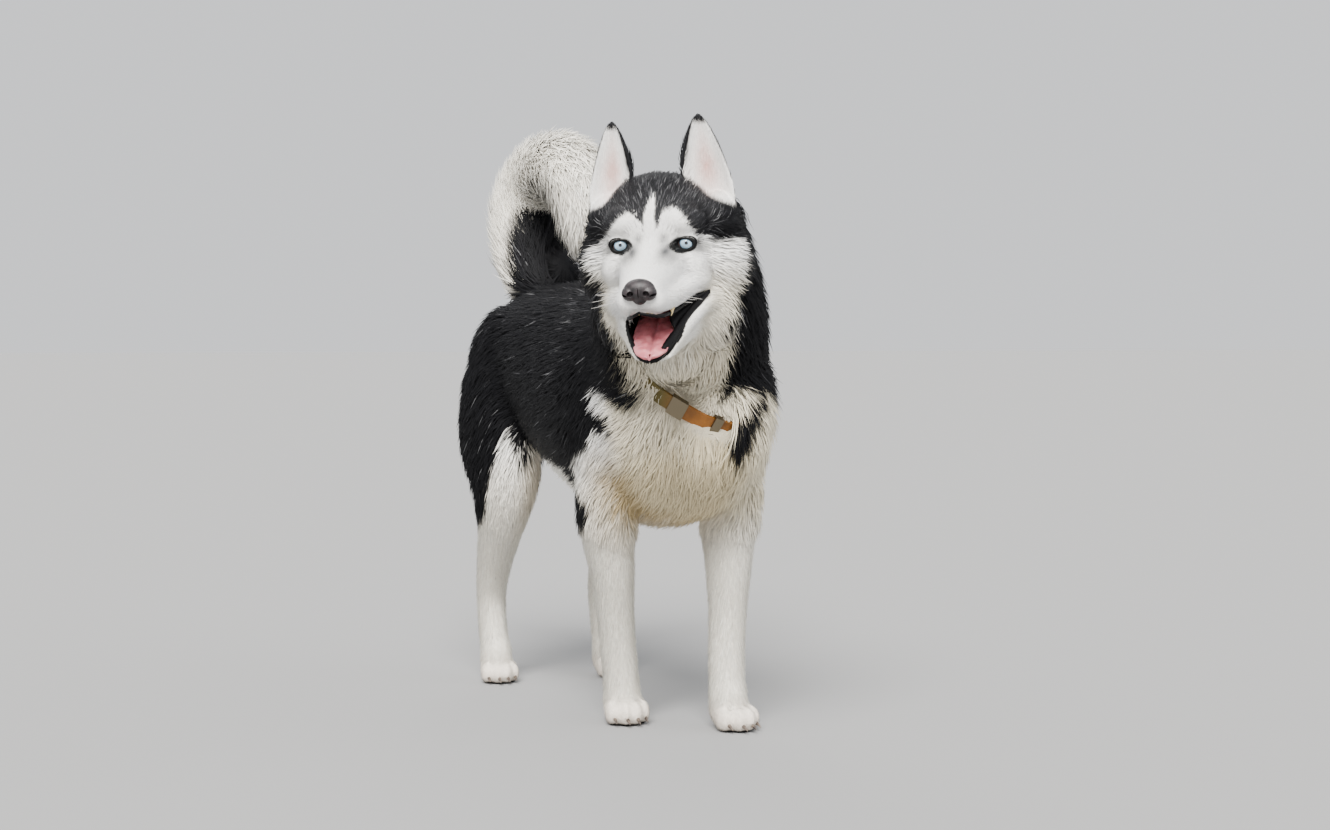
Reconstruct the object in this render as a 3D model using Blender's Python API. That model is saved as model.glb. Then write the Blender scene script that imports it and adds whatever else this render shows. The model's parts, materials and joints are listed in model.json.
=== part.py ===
"""A Siberian husky standing alert, its head turned to its right with the mouth open and its tail
curled over its back, at life size. Metres, +Z up. The dog faces -Y, its left side is +X, and its
paws stand on z = 0."""

import math
import random

import bmesh
import bpy
from mathutils import Matrix, Vector
from mathutils.bvhtree import BVHTree

GAP = 0.0003
LOCK_SINK = 0.007

# The head's own frame starts midway between the eyes, looks along -Y and has +X to the dog's left.
EYE_HEIGHT = 0.610
HEAD_PLACE = Vector((-0.139, -0.246, EYE_HEIGHT))
HEAD_TURN = -34
HEAD_NOD = 8
HEAD_TILT = -1.5

EYE_APART = 0.077
EYE_RADIUS = 0.0118
LID = 0.0028

# Rings along each form: x, y, z of the centre, half width, half depth, out to the coat's tips.
TORSO = (
    (0, -0.130, 0.378, 0.075, 0.085),
    (0, -0.095, 0.388, 0.104, 0.126),
    (0, -0.030, 0.404, 0.122, 0.158),
    (0, 0.050, 0.414, 0.128, 0.164),
    (0, 0.140, 0.424, 0.130, 0.160),
    (0, 0.230, 0.441, 0.124, 0.147),
    (0, 0.310, 0.458, 0.118, 0.131),
    (0, 0.380, 0.468, 0.114, 0.119),
    (0, 0.440, 0.470, 0.102, 0.104),
    (0, 0.475, 0.462, 0.080, 0.082),
)
NECK = (
    (0.000, -0.020, 0.440, 0.112, 0.120),
    (-0.012, -0.068, 0.500, 0.114, 0.114),
    (-0.034, -0.100, 0.555, 0.112, 0.106),
    (-0.056, -0.122, 0.610, 0.106, 0.094),
    (-0.070, -0.136, 0.640, 0.086, 0.076),
)
FORELEG = (
    (0.074, 0.000, 0.310, 0.040, 0.060),
    (0.074, 0.004, 0.250, 0.036, 0.047),
    (0.070, -0.002, 0.200, 0.031, 0.038),
    (0.067, -0.004, 0.150, 0.027, 0.031),
    (0.064, -0.006, 0.100, 0.0265, 0.028),
    (0.062, -0.010, 0.060, 0.026, 0.028),
    (0.062, -0.016, 0.032, 0.025, 0.027),
)
HIND_LEG = (
    (0.068, 0.405, 0.440, 0.062, 0.095),
    (0.082, 0.398, 0.370, 0.056, 0.098),
    (0.088, 0.378, 0.300, 0.046, 0.074),
    (0.087, 0.396, 0.235, 0.034, 0.050),
    (0.086, 0.425, 0.175, 0.027, 0.036),
    (0.085, 0.440, 0.130, 0.024, 0.030),
    (0.085, 0.437, 0.090, 0.0235, 0.027),
    (0.085, 0.426, 0.050, 0.024, 0.027),
    (0.085, 0.418, 0.032, 0.023, 0.026),
)
FORE_STEP = {"left": -0.044, "right": 0.056}
FORE_OUT = {"left": -0.006, "right": -0.012}
HIND_STEP = {"left": -0.022, "right": 0.0}
PAW_HEIGHT = {"fore": 0.060, "hind": 0.056}

# The tail's centre line in the median plane: y, z and the radius out to the hair tips.
TAIL = (
    (0.440, 0.540, 0.056),
    (0.470, 0.590, 0.063),
    (0.496, 0.645, 0.068),
    (0.500, 0.700, 0.066),
    (0.462, 0.738, 0.057),
    (0.400, 0.751, 0.055),
    (0.335, 0.742, 0.054),
    (0.288, 0.708, 0.051),
    (0.270, 0.665, 0.040),
    (0.274, 0.632, 0.020),
)

# How far the locks' tips stand above the core that they grow from.
RUFF_RISE = 0.016
CHEEK_RISE = 0.011
BREECH_RISE = 0.010
TAIL_CORE = 0.60

COLOURS = {
    "black_coat": ((0.035, 0.035, 0.042), 0.75, 0.0),
    "white_coat": ((0.86, 0.84, 0.78), 0.75, 0.0),
    "cream_coat": ((0.74, 0.68, 0.54), 0.75, 0.0),
    "nose_leather": ((0.045, 0.038, 0.045), 0.35, 0.0),
    "eye": ((0.55, 0.74, 0.86), 0.08, 0.0),
    "tongue": ((0.72, 0.32, 0.34), 0.40, 0.0),
    "collar_leather": ((0.36, 0.20, 0.06), 0.45, 0.0),
    "collar_metal": ((0.72, 0.70, 0.66), 0.25, 1.0),
}


def turned(x=0, y=0, z=0):
    """A rotation by degrees about X, then Y, then Z."""
    return (Matrix.Rotation(math.radians(z), 4, "Z") @ Matrix.Rotation(math.radians(y), 4, "Y")
            @ Matrix.Rotation(math.radians(x), 4, "X"))


def shifted(x, y, z):
    return Matrix.Translation((x, y, z))


HEAD = (shifted(*HEAD_PLACE) @ turned(z=HEAD_TURN) @ turned(x=HEAD_NOD) @ turned(y=HEAD_TILT))


def clear_scene():
    for old in list(bpy.data.objects):
        bpy.data.objects.remove(old)


def link(made):
    bpy.context.scene.collection.objects.link(made)
    return made


def material(slot):
    found = bpy.data.materials.get(slot)
    if found:
        return found
    colour, roughness, metallic = COLOURS[slot]
    made = bpy.data.materials.new(slot)
    made.use_nodes = True
    shader = made.node_tree.nodes["Principled BSDF"]
    shader.inputs["Base Color"].default_value = (*colour, 1)
    shader.inputs["Roughness"].default_value = roughness
    shader.inputs["Metallic"].default_value = metallic
    return made


def smooth_rows(stations, per_span):
    """Catmull-Rom rows through the stations, whatever numbers each one holds."""
    rows = []
    last = len(stations) - 1
    for i in range(last):
        near = [stations[max(0, min(last, i + k))] for k in (-1, 0, 1, 2)]
        for j in range(per_span):
            t = j / per_span
            rows.append(tuple(
                0.5 * (2 * b + (c - a) * t + (2 * a - 5 * b + 4 * c - d) * t * t
                       + (3 * b - a - 3 * c + d) * t ** 3)
                for a, b, c, d in zip(*near)
            ))
    return rows + [tuple(stations[-1])]


def add_ring(bm, centre, side, up, half_width, half_depth, sides):
    angles = [2 * math.pi * k / sides for k in range(sides)]
    return [bm.verts.new(centre + side * (half_width * math.cos(a)) + up * (half_depth * math.sin(a)))
            for a in angles]


def bridge(bm, ring, following):
    n = len(ring)
    for k in range(n):
        bm.faces.new((ring[k], ring[(k + 1) % n], following[(k + 1) % n], following[k]))


def fan(bm, ring, point):
    tip = bm.verts.new(point)
    for k in range(len(ring)):
        bm.faces.new((tip, ring[k], ring[(k + 1) % len(ring)]))


def add_loft(bm, stations, frame=Matrix(), side=(1, 0, 0), sides=16, per_span=3, dome=0.6):
    """A closed skin over elliptical rings along a smooth line, with domed ends."""
    rows = smooth_rows(stations, per_span)
    last = len(rows) - 1
    centres = [frame @ Vector(row[:3]) for row in rows]
    frames = []
    for i in range(last + 1):
        along = (centres[min(i + 1, last)] - centres[max(i - 1, 0)]).normalized()
        across = frame.to_3x3() @ Vector(side)
        across = (across - along * across.dot(along)).normalized()
        frames.append((along, across, along.cross(across)))

    def end_ring(i, sign, share):
        along, across, up = frames[i]
        shrink = math.sqrt(1 - share * share)
        reach = sign * dome * min(rows[i][3:5]) * share
        return add_ring(bm, centres[i] + along * reach, across, up, rows[i][3] * shrink,
                        rows[i][4] * shrink, sides)

    rings = [end_ring(0, -1, 0.9), end_ring(0, -1, 0.6)]
    for row, centre, (along, across, up) in zip(rows, centres, frames):
        rings.append(add_ring(bm, centre, across, up, row[3], row[4], sides))
    rings += [end_ring(last, 1, 0.6), end_ring(last, 1, 0.9)]
    for ring, following in zip(rings, rings[1:]):
        bridge(bm, ring, following)
    fan(bm, rings[0], centres[0] - frames[0][0] * (dome * min(rows[0][3:5])))
    fan(bm, rings[-1], centres[-1] + frames[-1][0] * (dome * min(rows[-1][3:5])))


def add_blob(bm, centre, radii, turn=(0, 0, 0), frame=Matrix(), fineness=3):
    """An ellipsoid, turned by degrees about X, Y and Z."""
    place = frame @ shifted(*centre) @ turned(*turn) @ Matrix.Diagonal((*radii, 1))
    bmesh.ops.create_icosphere(bm, subdivisions=fineness, radius=1, matrix=place)


def object_from(bm, name):
    bmesh.ops.recalc_face_normals(bm, faces=bm.faces)
    mesh = bpy.data.meshes.new(name)
    bm.to_mesh(mesh)
    bm.free()
    return link(bpy.data.objects.new(name, mesh))


def bake(obj):
    """Replaces the object's mesh by the evaluated one and drops its modifiers."""
    graph = bpy.context.evaluated_depsgraph_get()
    mesh = bpy.data.meshes.new_from_object(obj.evaluated_get(graph))
    obj.modifiers.clear()
    obj.data = mesh
    return obj


def fuse(obj, voxel, smooth, triangles):
    """Fuses overlapping masses into one soft skin of about this many triangles."""
    remesh = obj.modifiers.new("fuse", "REMESH")
    remesh.mode = "VOXEL"
    remesh.voxel_size = voxel
    soften = obj.modifiers.new("soften", "SMOOTH")
    soften.factor = 0.5
    soften.iterations = smooth
    obj.modifiers.new("faces", "TRIANGULATE")
    bake(obj)
    lighten = obj.modifiers.new("lighten", "DECIMATE")
    lighten.ratio = min(1.0, triangles / len(obj.data.polygons))
    return bake(obj)


def largest_body(obj):
    """Keeps only the object's largest closed surface."""
    bm = bmesh.new()
    bm.from_mesh(obj.data)
    seen = set()
    groups = []
    for face in bm.faces:
        if face in seen:
            continue
        seen.add(face)
        group = [face]
        for here in group:
            for edge in here.edges:
                for near in edge.link_faces:
                    if near not in seen:
                        seen.add(near)
                        group.append(near)
        groups.append(group)

    def extent(group):
        points = [v.co for f in group for v in f.verts]
        spans = [max(p[i] for p in points) - min(p[i] for p in points) for i in range(3)]
        return spans[0] * spans[1] * spans[2]

    groups.sort(key=extent, reverse=True)
    drop = [f for group in groups[1:] for f in group]
    bmesh.ops.delete(bm, geom=drop, context="FACES")
    bm.to_mesh(obj.data)
    bm.free()
    return obj


def boolean(obj, other, operation, solver="EXACT"):
    cut = obj.modifiers.new(operation.lower(), "BOOLEAN")
    cut.operation = operation
    cut.solver = solver
    cut.object = other
    bake(obj)
    return largest_body(obj)


def drop(*objects):
    for obj in objects:
        bpy.data.objects.remove(obj)


def combine(obj, others, operation, solver):
    """One Boolean of the object with all the others, which are used up."""
    group = bpy.data.collections.new("pieces")
    for other in others:
        group.objects.link(other)
    join = obj.modifiers.new("join", "BOOLEAN")
    join.operation = operation
    join.solver = solver
    join.operand_type = "COLLECTION"
    join.collection = group
    bake(obj)
    drop(*others)
    bpy.data.collections.remove(group)
    return largest_body(obj)


def union(obj, *others, solver="EXACT"):
    return combine(obj, others, "UNION", solver)


def copy_of(obj, name):
    return link(bpy.data.objects.new(name, obj.data.copy()))


def box(low, high, frame=Matrix()):
    size = [h - l for l, h in zip(low, high)]
    middle = [(h + l) / 2 for l, h in zip(low, high)]
    bm = bmesh.new()
    bmesh.ops.create_cube(bm, size=1, matrix=frame @ shifted(*middle) @ Matrix.Diagonal((*size, 1)))
    return object_from(bm, "cutter")


def part_off(whole, name, low, high, frame=Matrix()):
    """Takes what lies inside the box out of the whole as a node of its own, a thin cut away."""
    piece = copy_of(whole, name)
    inner = box(low, high, frame)
    outer = box([v - GAP for v in low], [v + GAP for v in high], frame)
    boolean(piece, inner, "INTERSECT")
    boolean(whole, outer, "DIFFERENCE")
    drop(inner, outer)
    return piece


def swollen(piece):
    """A copy of the piece, wider all round by a little more than the thin gap."""
    wider = copy_of(piece, "swollen")
    swell = wider.modifiers.new("swell", "DISPLACE")
    swell.strength = 1.4 * GAP
    swell.mid_level = 0
    return bake(wider)


def make_room(obj, *pieces):
    """Cuts a seat for each piece, wider than the piece by the thin gap."""
    for piece in pieces:
        combine(obj, [copy_of(piece, "seat"), swollen(piece)], "DIFFERENCE", "MANIFOLD")
    return obj


def dress(obj, slot):
    obj.data.materials.clear()
    obj.data.materials.append(material(slot))
    obj.data.polygons.foreach_set("material_index", [0] * len(obj.data.polygons))
    obj.data.shade_smooth()
    obj.data.set_sharp_from_angle(angle=math.radians(50))
    return obj


def leg_rows(rows, side, step, out=0.0):
    """A leg's rings on this side, its foot moved ahead or back from under the shoulder or hip."""
    sign = 1 if side == "left" else -1
    top, bottom = rows[0][2], rows[-1][2]
    moved = []
    for x, y, z, half_width, half_depth in rows:
        share = (top - z) / (top - bottom)
        moved.append((sign * (x + out * share), y + step * (0.55 + 0.45 * share), z, half_width,
                      half_depth))
    return moved


def fore_rows(side):
    return leg_rows(FORELEG, side, FORE_STEP[side], FORE_OUT[side])


def hind_rows(side):
    return leg_rows(HIND_LEG, side, HIND_STEP[side])


def lowered(rows, depth):
    return [(x, y, z, half_width - depth, half_depth - depth)
            for x, y, z, half_width, half_depth in rows]


def neck_masses(bm):
    add_loft(bm, lowered(NECK, RUFF_RISE), sides=20)


def leg_masses(bm):
    for side, sign in (("left", 1), ("right", -1)):
        add_loft(bm, fore_rows(side))
        add_loft(bm, hind_rows(side))
        add_blob(bm, (sign * 0.074, FORE_STEP[side] * 0.55 - 0.006, 0.375), (0.048, 0.074, 0.115),
                 (12, 0, 0))
        add_blob(bm, (sign * 0.070, 0.408 + HIND_STEP[side] * 0.4, 0.435), (0.060, 0.094 - BREECH_RISE,
                 0.122), (-8, 0, 0))
        add_blob(bm, (sign * 0.078, 0.403 + HIND_STEP[side] * 0.5, 0.375), (0.057, 0.106 - BREECH_RISE,
                 0.122), (8, 0, 0))


def paw_rows(kind, side):
    return fore_rows(side) if kind == "fore" else hind_rows(side)


def paw_masses(bm, kind, side):
    x, y = paw_rows(kind, side)[-1][:2]
    size = 0.93 if kind == "fore" else 0.88
    frame = shifted(x, y, 0) @ turned(z=6 if side == "left" else -6) @ Matrix.Scale(size, 4)
    add_blob(bm, (0, 0.004, 0.026), (0.027, 0.030, 0.030), frame=frame)
    for step, ahead, turn in ((-1.5, -0.018, -8), (-0.5, -0.031, -3), (0.5, -0.031, 3), (1.5, -0.018, 8)):
        add_blob(bm, (step * 0.0145, ahead, 0.017), (0.0100, 0.0205, 0.0190), (0, 0, turn), frame)
    return frame


def head_masses(bm):
    add_blob(bm, (0, 0.072, 0.008), (0.084, 0.084, 0.075), frame=HEAD)
    add_loft(bm, (
        (0, 0.045, -0.014, 0.052, 0.040),
        (0, 0.000, -0.027, 0.043, 0.036),
        (0, -0.035, -0.037, 0.035, 0.031),
        (0, -0.070, -0.044, 0.0300, 0.0275),
        (0, -0.096, -0.048, 0.0255, 0.0235),
    ), HEAD, dome=0.5)
    for sign in (1, -1):
        wide = 0.008 if sign > 0 else 0.0
        add_blob(bm, (sign * 0.030, 0.020, 0.026), (0.034, 0.028, 0.024), (0, sign * 12, 0), HEAD)
        add_blob(bm, (sign * (0.058 + wide), 0.072, -0.028),
                 [r - CHEEK_RISE for r in (0.052, 0.060, 0.062)], frame=HEAD)
        add_blob(bm, (sign * (0.045 + wide), 0.058, -0.080),
                 [r - CHEEK_RISE for r in (0.048, 0.060, 0.060)], frame=HEAD)
        add_blob(bm, (sign * 0.014, -0.082, -0.055), (0.0175, 0.026, 0.0165), frame=HEAD)
        add_blob(bm, (sign * 0.040, 0.020, -0.030), (0.026, 0.036, 0.026), frame=HEAD)
    add_blob(bm, (0.010, 0.075, -0.120), (0.060, 0.060, 0.060), frame=HEAD)


JAW = (
    (0.003, 0.040, -0.088, 0.060, 0.036),
    (0.004, 0.012, -0.092, 0.054, 0.034),
    (0.006, -0.020, -0.104, 0.044, 0.026),
    (0.007, -0.055, -0.119, 0.034, 0.018),
    (0.008, -0.080, -0.131, 0.025, 0.0125),
)
TONGUE = (
    (0.004, 0.008, -0.078, 0.019, 0.0060),
    (0.006, -0.025, -0.089, 0.0225, 0.0060),
    (0.008, -0.055, -0.102, 0.0240, 0.0055),
    (0.009, -0.080, -0.113, 0.0235, 0.0050),
    (0.009, -0.100, -0.121, 0.0175, 0.0040),
)
MOUTH = (
    (0.003, 0.020, -0.070, 0.022, 0.0070),
    (0.005, -0.020, -0.080, 0.029, 0.0140),
    (0.007, -0.055, -0.092, 0.028, 0.0200),
    (0.008, -0.085, -0.100, 0.0205, 0.0240),
    (0.008, -0.120, -0.108, 0.0190, 0.0280),
)
# The cut between jaw and head starts at the corner of the mouth and follows the open gape.
GAPE = HEAD @ shifted(0, 0.012, -0.060) @ turned(x=22)
NECK_CUT = HEAD @ shifted(0, 0.092, -0.050) @ turned(x=-30)

EAR_BASE = Vector((0.062, 0.056, 0.050))
EAR_TIP = Vector((0.0540, 0.066, 0.140))
EAR_HALF_WIDTH = 0.042
EAR_WALL = 0.0050


def ear(name, sign):
    """A pricked ear as a stack of crescents, thick at the root, its cup facing ahead and out."""
    bm = bmesh.new()
    rings = []
    for level in (0.0, 0.16, 0.34, 0.52, 0.70, 0.85, 0.95):
        centre = EAR_BASE.lerp(EAR_TIP, level)
        width = EAR_HALF_WIDTH * (1 - level) ** 0.78
        slant = math.radians(34 * (1 - level))
        across = Vector((math.cos(slant), 0.10, -math.sin(slant))).normalized()
        back = Vector((-0.25, 1, 0.10)).normalized()
        bulge = 0.72 * width + 0.002
        cup = bulge - EAR_WALL - 0.008 * (1 - level)
        points = []
        for k in range(7):
            a = math.pi * k / 6
            points.append(centre + across * (width * math.cos(a)) + back * (bulge * math.sin(a)))
        for k in range(5, 0, -1):
            a = math.pi * k / 6
            points.append(centre + across * (0.84 * width * math.cos(a)) + back * (cup * math.sin(a) - 0.001))
        rings.append([bm.verts.new(HEAD @ Vector((sign * p.x, p.y, p.z))) for p in points])
    for ring, following in zip(rings, rings[1:]):
        bridge(bm, ring, following)
    fan(bm, rings[-1], HEAD @ Vector((sign * EAR_TIP.x, EAR_TIP.y + 0.004, EAR_TIP.z)))
    bm.faces.new(rings[0])
    bmesh.ops.triangulate(bm, faces=[f for f in bm.faces if len(f.verts) > 4])
    return object_from(bm, name)


def loft_object(name, stations, frame=Matrix(), **how):
    bm = bmesh.new()
    add_loft(bm, stations, frame, **how)
    return object_from(bm, name)


def blob_object(name, centre, radii, turn=(0, 0, 0), frame=Matrix(), fineness=3):
    bm = bmesh.new()
    add_blob(bm, centre, radii, turn, frame, fineness)
    return object_from(bm, name)


def cone_object(name, root, tip, radius, frame=Matrix(), sides=6):
    root = frame @ Vector(root)
    tip = frame @ Vector(tip)
    along = (tip - root).normalized()
    across = along.orthogonal().normalized()
    up = along.cross(across)
    bm = bmesh.new()
    base = add_ring(bm, root, across, up, radius, radius, sides)
    middle = add_ring(bm, root.lerp(tip, 0.6), across, up, radius * 0.62, radius * 0.62, sides)
    bridge(bm, base, middle)
    fan(bm, middle, tip)
    fan(bm, base, root)
    return object_from(bm, name)


def build_eyes():
    eyes = []
    for side, sign in (("left", 1), ("right", -1)):
        place = (sign * EYE_APART / 2, EYE_RADIUS + 0.0015, 0)
        eyes.append(blob_object("eye_" + side, place, [EYE_RADIUS] * 3, frame=HEAD, fineness=2))
    return eyes


def add_lids(head):
    """Lids wrap each eyeball and leave an almond opening, higher at its outer corner."""
    for sign in (1, -1):
        x = sign * EYE_APART / 2
        lid = blob_object("lid", (x, EYE_RADIUS + 0.0015, 0), [EYE_RADIUS + LID] * 3, frame=HEAD)
        union(head, lid)
        almond = blob_object("almond", (x, -0.004, -0.0004), (0.0125, 0.0110, 0.0072),
                             (0, -sign * 8, 0), HEAD)
        boolean(head, almond, "DIFFERENCE")
        drop(almond)


def build_nose(head):
    bm = bmesh.new()
    add_blob(bm, (0.001, -0.104, -0.0400), (0.0180, 0.0125, 0.0125), frame=HEAD)
    add_blob(bm, (0.001, -0.102, -0.0480), (0.0100, 0.0110, 0.0110), frame=HEAD)
    for sign in (1, -1):
        add_blob(bm, (0.001 + sign * 0.0105, -0.106, -0.0435), (0.0095, 0.0105, 0.0090), frame=HEAD)
    nose = fuse(object_from(bm, "nose"), 0.0012, 4, 220)
    for sign in (1, -1):
        nostril = blob_object("nostril", (0.001 + sign * 0.0090, -0.1165, -0.0440),
                              (0.0036, 0.0065, 0.0034), (0, 0, sign * 20), HEAD, 2)
        boolean(nose, nostril, "DIFFERENCE")
        drop(nostril)
    make_room(head, nose)
    return nose


def trim_neck(head):
    """Trims the head at the neck's cut."""
    keep = box((-0.3, -0.4, -0.165), (0.3, -GAP / 2, 0.4), NECK_CUT)
    boolean(head, keep, "INTERSECT", "MANIFOLD")
    drop(keep)


def build_head():
    bm = bmesh.new()
    head_masses(bm)
    add_loft(bm, JAW, HEAD, dome=0.7)
    neck_masses(bm)
    head = fuse(object_from(bm, "head"), 0.003, 5, 1550)
    mouth = loft_object("mouth", MOUTH, HEAD, per_span=1, sides=12)
    boolean(head, mouth, "DIFFERENCE")
    drop(mouth)
    for sign in (1, -1):
        union(head, cone_object("canine", (0.005 + sign * 0.0205, -0.084, -0.064),
                                (0.006 + sign * 0.0200, -0.089, -0.0815), 0.0036, HEAD))
        union(head, ear("ear", sign))
    trim_neck(head)
    ears = []
    for side, sign in (("left", 1), ("right", -1)):
        root = HEAD @ shifted(sign * 0.057, 0.056, 0.0685) @ turned(y=sign * 33)
        ears.append(part_off(head, "ear_" + side, (-0.060, -0.06, 0), (0.075, 0.06, 0.12), root))
    jaw = part_off(head, "jaw", (-0.10, -0.16, -0.068), (0.10, 0, 0.012), GAPE)
    add_lids(head)
    eyes = build_eyes()
    make_room(head, *eyes)
    nose = build_nose(head)
    tongue = loft_object("tongue", TONGUE, HEAD, per_span=1, sides=12)
    make_room(jaw, tongue)
    make_room(head, tongue)
    return [head, jaw, nose, tongue, *ears, *eyes]


def trim_face(flesh):
    """Trims away what lies on the head's side of the neck's cut."""
    away = box((-0.3, -0.4, -0.165 - GAP / 2), (0.3, GAP / 2, 0.4), NECK_CUT)
    boolean(flesh, away, "DIFFERENCE", "MANIFOLD")
    drop(away)
    return flesh


def build_body():
    bm = bmesh.new()
    add_loft(bm, lowered(TORSO[:3], RUFF_RISE * 0.7) + list(TORSO[3:]), sides=20)
    neck_masses(bm)
    head_masses(bm)
    leg_masses(bm)
    add_loft(bm, [(0, y, z, r * TAIL_CORE, r * TAIL_CORE) for y, z, r in TAIL[:3]], sides=12)
    body = fuse(object_from(bm, "torso"), 0.007, 8, 2400)
    return trim_face(body)


def build_paw(kind, side):
    """A paw with four toes, claws and a flat sole, cut level where it meets its leg."""
    bm = bmesh.new()
    frame = paw_masses(bm, kind, side)
    add_loft(bm, paw_rows(kind, side)[-4:], per_span=2)
    paw = fuse(object_from(bm, "%s_paw_%s" % (kind, side)), 0.0026, 4, 270)
    claws = []
    for step, ahead in ((-1.5, -0.034), (-0.5, -0.047), (0.5, -0.047), (1.5, -0.034)):
        claws.append(cone_object("claw", (step * 0.0148, ahead, 0.0120),
                                 (step * 0.0160, ahead - 0.0125, 0.0048), 0.0030, frame, 5))
    union(paw, *claws)
    keep = box((-0.3, -0.3, 0), (0.3, 0.6, PAW_HEIGHT[kind] - GAP / 2))
    boolean(paw, keep, "INTERSECT")
    drop(keep)
    return paw


def build_legs(body):
    """The four legs parted from the body, each hind leg again at the hock, and their paws."""
    legs = []
    for side, sign in (("left", 1), ("right", -1)):
        for kind, inner, top, ahead, back in (("fore", 0.030, 0.240, -0.10, 0.115),
                                              ("hind", 0.024, 0.312, 0.285, 0.60)):
            low = (min(sign * inner, sign * 0.22), ahead, -0.02)
            high = (max(sign * inner, sign * 0.22), back, top)
            leg = part_off(body, "%s_leg_%s" % (kind, side), low, high)
            foot = box((-0.3, -0.3, -0.05), (0.3, 0.7, PAW_HEIGHT[kind] + GAP / 2))
            boolean(leg, foot, "DIFFERENCE")
            drop(foot)
            if kind == "hind":
                legs.append(part_off(leg, "hock_" + side, (-0.3, 0.2, -0.05), (0.3, 0.7, 0.172)))
            legs += [leg, build_paw(kind, side)]
    return legs


TAIL_CUTS = {
    "root": shifted(0, 0.450, 0.560) @ turned(x=-30),
    "middle": shifted(0, 0.488, 0.718) @ turned(x=45),
    "tip": shifted(0, 0.310, 0.728) @ turned(x=125),
}


def build_tail(body):
    tail = loft_object("tail_root", [(0, y, z, r * TAIL_CORE, r * TAIL_CORE) for y, z, r in TAIL],
                       per_span=2, sides=10)
    above = box((-0.10, -0.10, -GAP / 2), (0.10, 0.10, 0.2), TAIL_CUTS["root"])
    boolean(body, above, "DIFFERENCE")
    below = box((-0.10, -0.10, -0.2), (0.10, 0.10, GAP / 2), TAIL_CUTS["root"])
    boolean(tail, below, "DIFFERENCE")
    drop(above, below)
    middle = part_off(tail, "tail_middle", (-0.2, -0.3, 0), (0.2, 0.3, 0.4), TAIL_CUTS["middle"])
    tip = part_off(middle, "tail_tip", (-0.2, -0.3, 0), (0.2, 0.3, 0.4), TAIL_CUTS["tip"])
    return [tail, middle, tip]


COLLAR_AT = shifted(-0.011, -0.048, 0.488) @ Matrix((
    (0.985, -0.060, 0.161, 0),
    (0.060, 0.777, -0.627, 0),
    (-0.162, 0.627, 0.762, 0),
    (0, 0, 0, 1),
))
COLLAR_STEPS = 32
COLLAR_SINK = 0.0015
COLLAR_HIDDEN = 0.008
STRAP_WIDTH = 0.020
STRAP_THICKNESS = 0.0045
RING_ANGLE = -96
KEEPER_ANGLE = -115


def collar_reaches(skins):
    """How far the strap's loop stands from its centre, all round: on the skin at the throat, and
    sunk in the coat elsewhere."""
    trees = [BVHTree.FromObject(skin, bpy.context.evaluated_depsgraph_get()) for skin in skins]
    centre = COLLAR_AT.translation
    found = []
    for k in range(COLLAR_STEPS):
        a = 2 * math.pi * k / COLLAR_STEPS
        way = COLLAR_AT.to_3x3() @ Vector((math.cos(a), math.sin(a), 0))
        hits = [tree.ray_cast(centre + way * 0.3, -way, 0.3)[3] for tree in trees]
        found.append(0.3 - min(hit for hit in hits if hit))
    smooth = found
    for _ in range(8):
        smooth = [0.25 * (smooth[k - 1] + smooth[(k + 1) % COLLAR_STEPS]) + 0.5 * max(smooth[k], found[k])
                  for k in range(COLLAR_STEPS)]
    sunk = []
    for k, reach in enumerate(smooth):
        away = abs((360 * k / COLLAR_STEPS + 105 + 180) % 360 - 180)
        share = min(1.0, max(0.0, (away - 22) / 25))
        sunk.append(reach - COLLAR_SINK - COLLAR_HIDDEN * share)
    return sunk


def collar_point(reaches, angle, out=0.0, along=0.0):
    """A point on the collar's loop, angle in degrees from the dog's left, -90 being the front."""
    step = (angle % 360) * COLLAR_STEPS / 360
    before = int(step) % COLLAR_STEPS
    share = step - int(step)
    reach = reaches[before] * (1 - share) + reaches[(before + 1) % COLLAR_STEPS] * share
    a = math.radians(angle)
    return COLLAR_AT @ Vector(((reach + out) * math.cos(a), (reach + out) * math.sin(a), along))


def collar_band(name, reaches, start, stop, steps, width, inner, outer):
    """A flat band on the collar's loop, closed on itself over a full turn."""
    whole = stop - start == 360
    bm = bmesh.new()
    rings = []
    for k in range(steps + (not whole)):
        angle = start + (stop - start) * k / steps
        rings.append([bm.verts.new(collar_point(reaches, angle, out, along)) for out, along in (
            (inner, -width / 2), (outer, -width / 2), (outer, width / 2), (inner, width / 2))])
    for ring, following in zip(rings, rings[1:] + rings[:whole]):
        bridge(bm, ring, following)
    if not whole:
        bm.faces.new(rings[0])
        bm.faces.new(rings[-1])
    bmesh.ops.triangulate(bm, faces=bm.faces)
    return object_from(bm, name)


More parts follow.
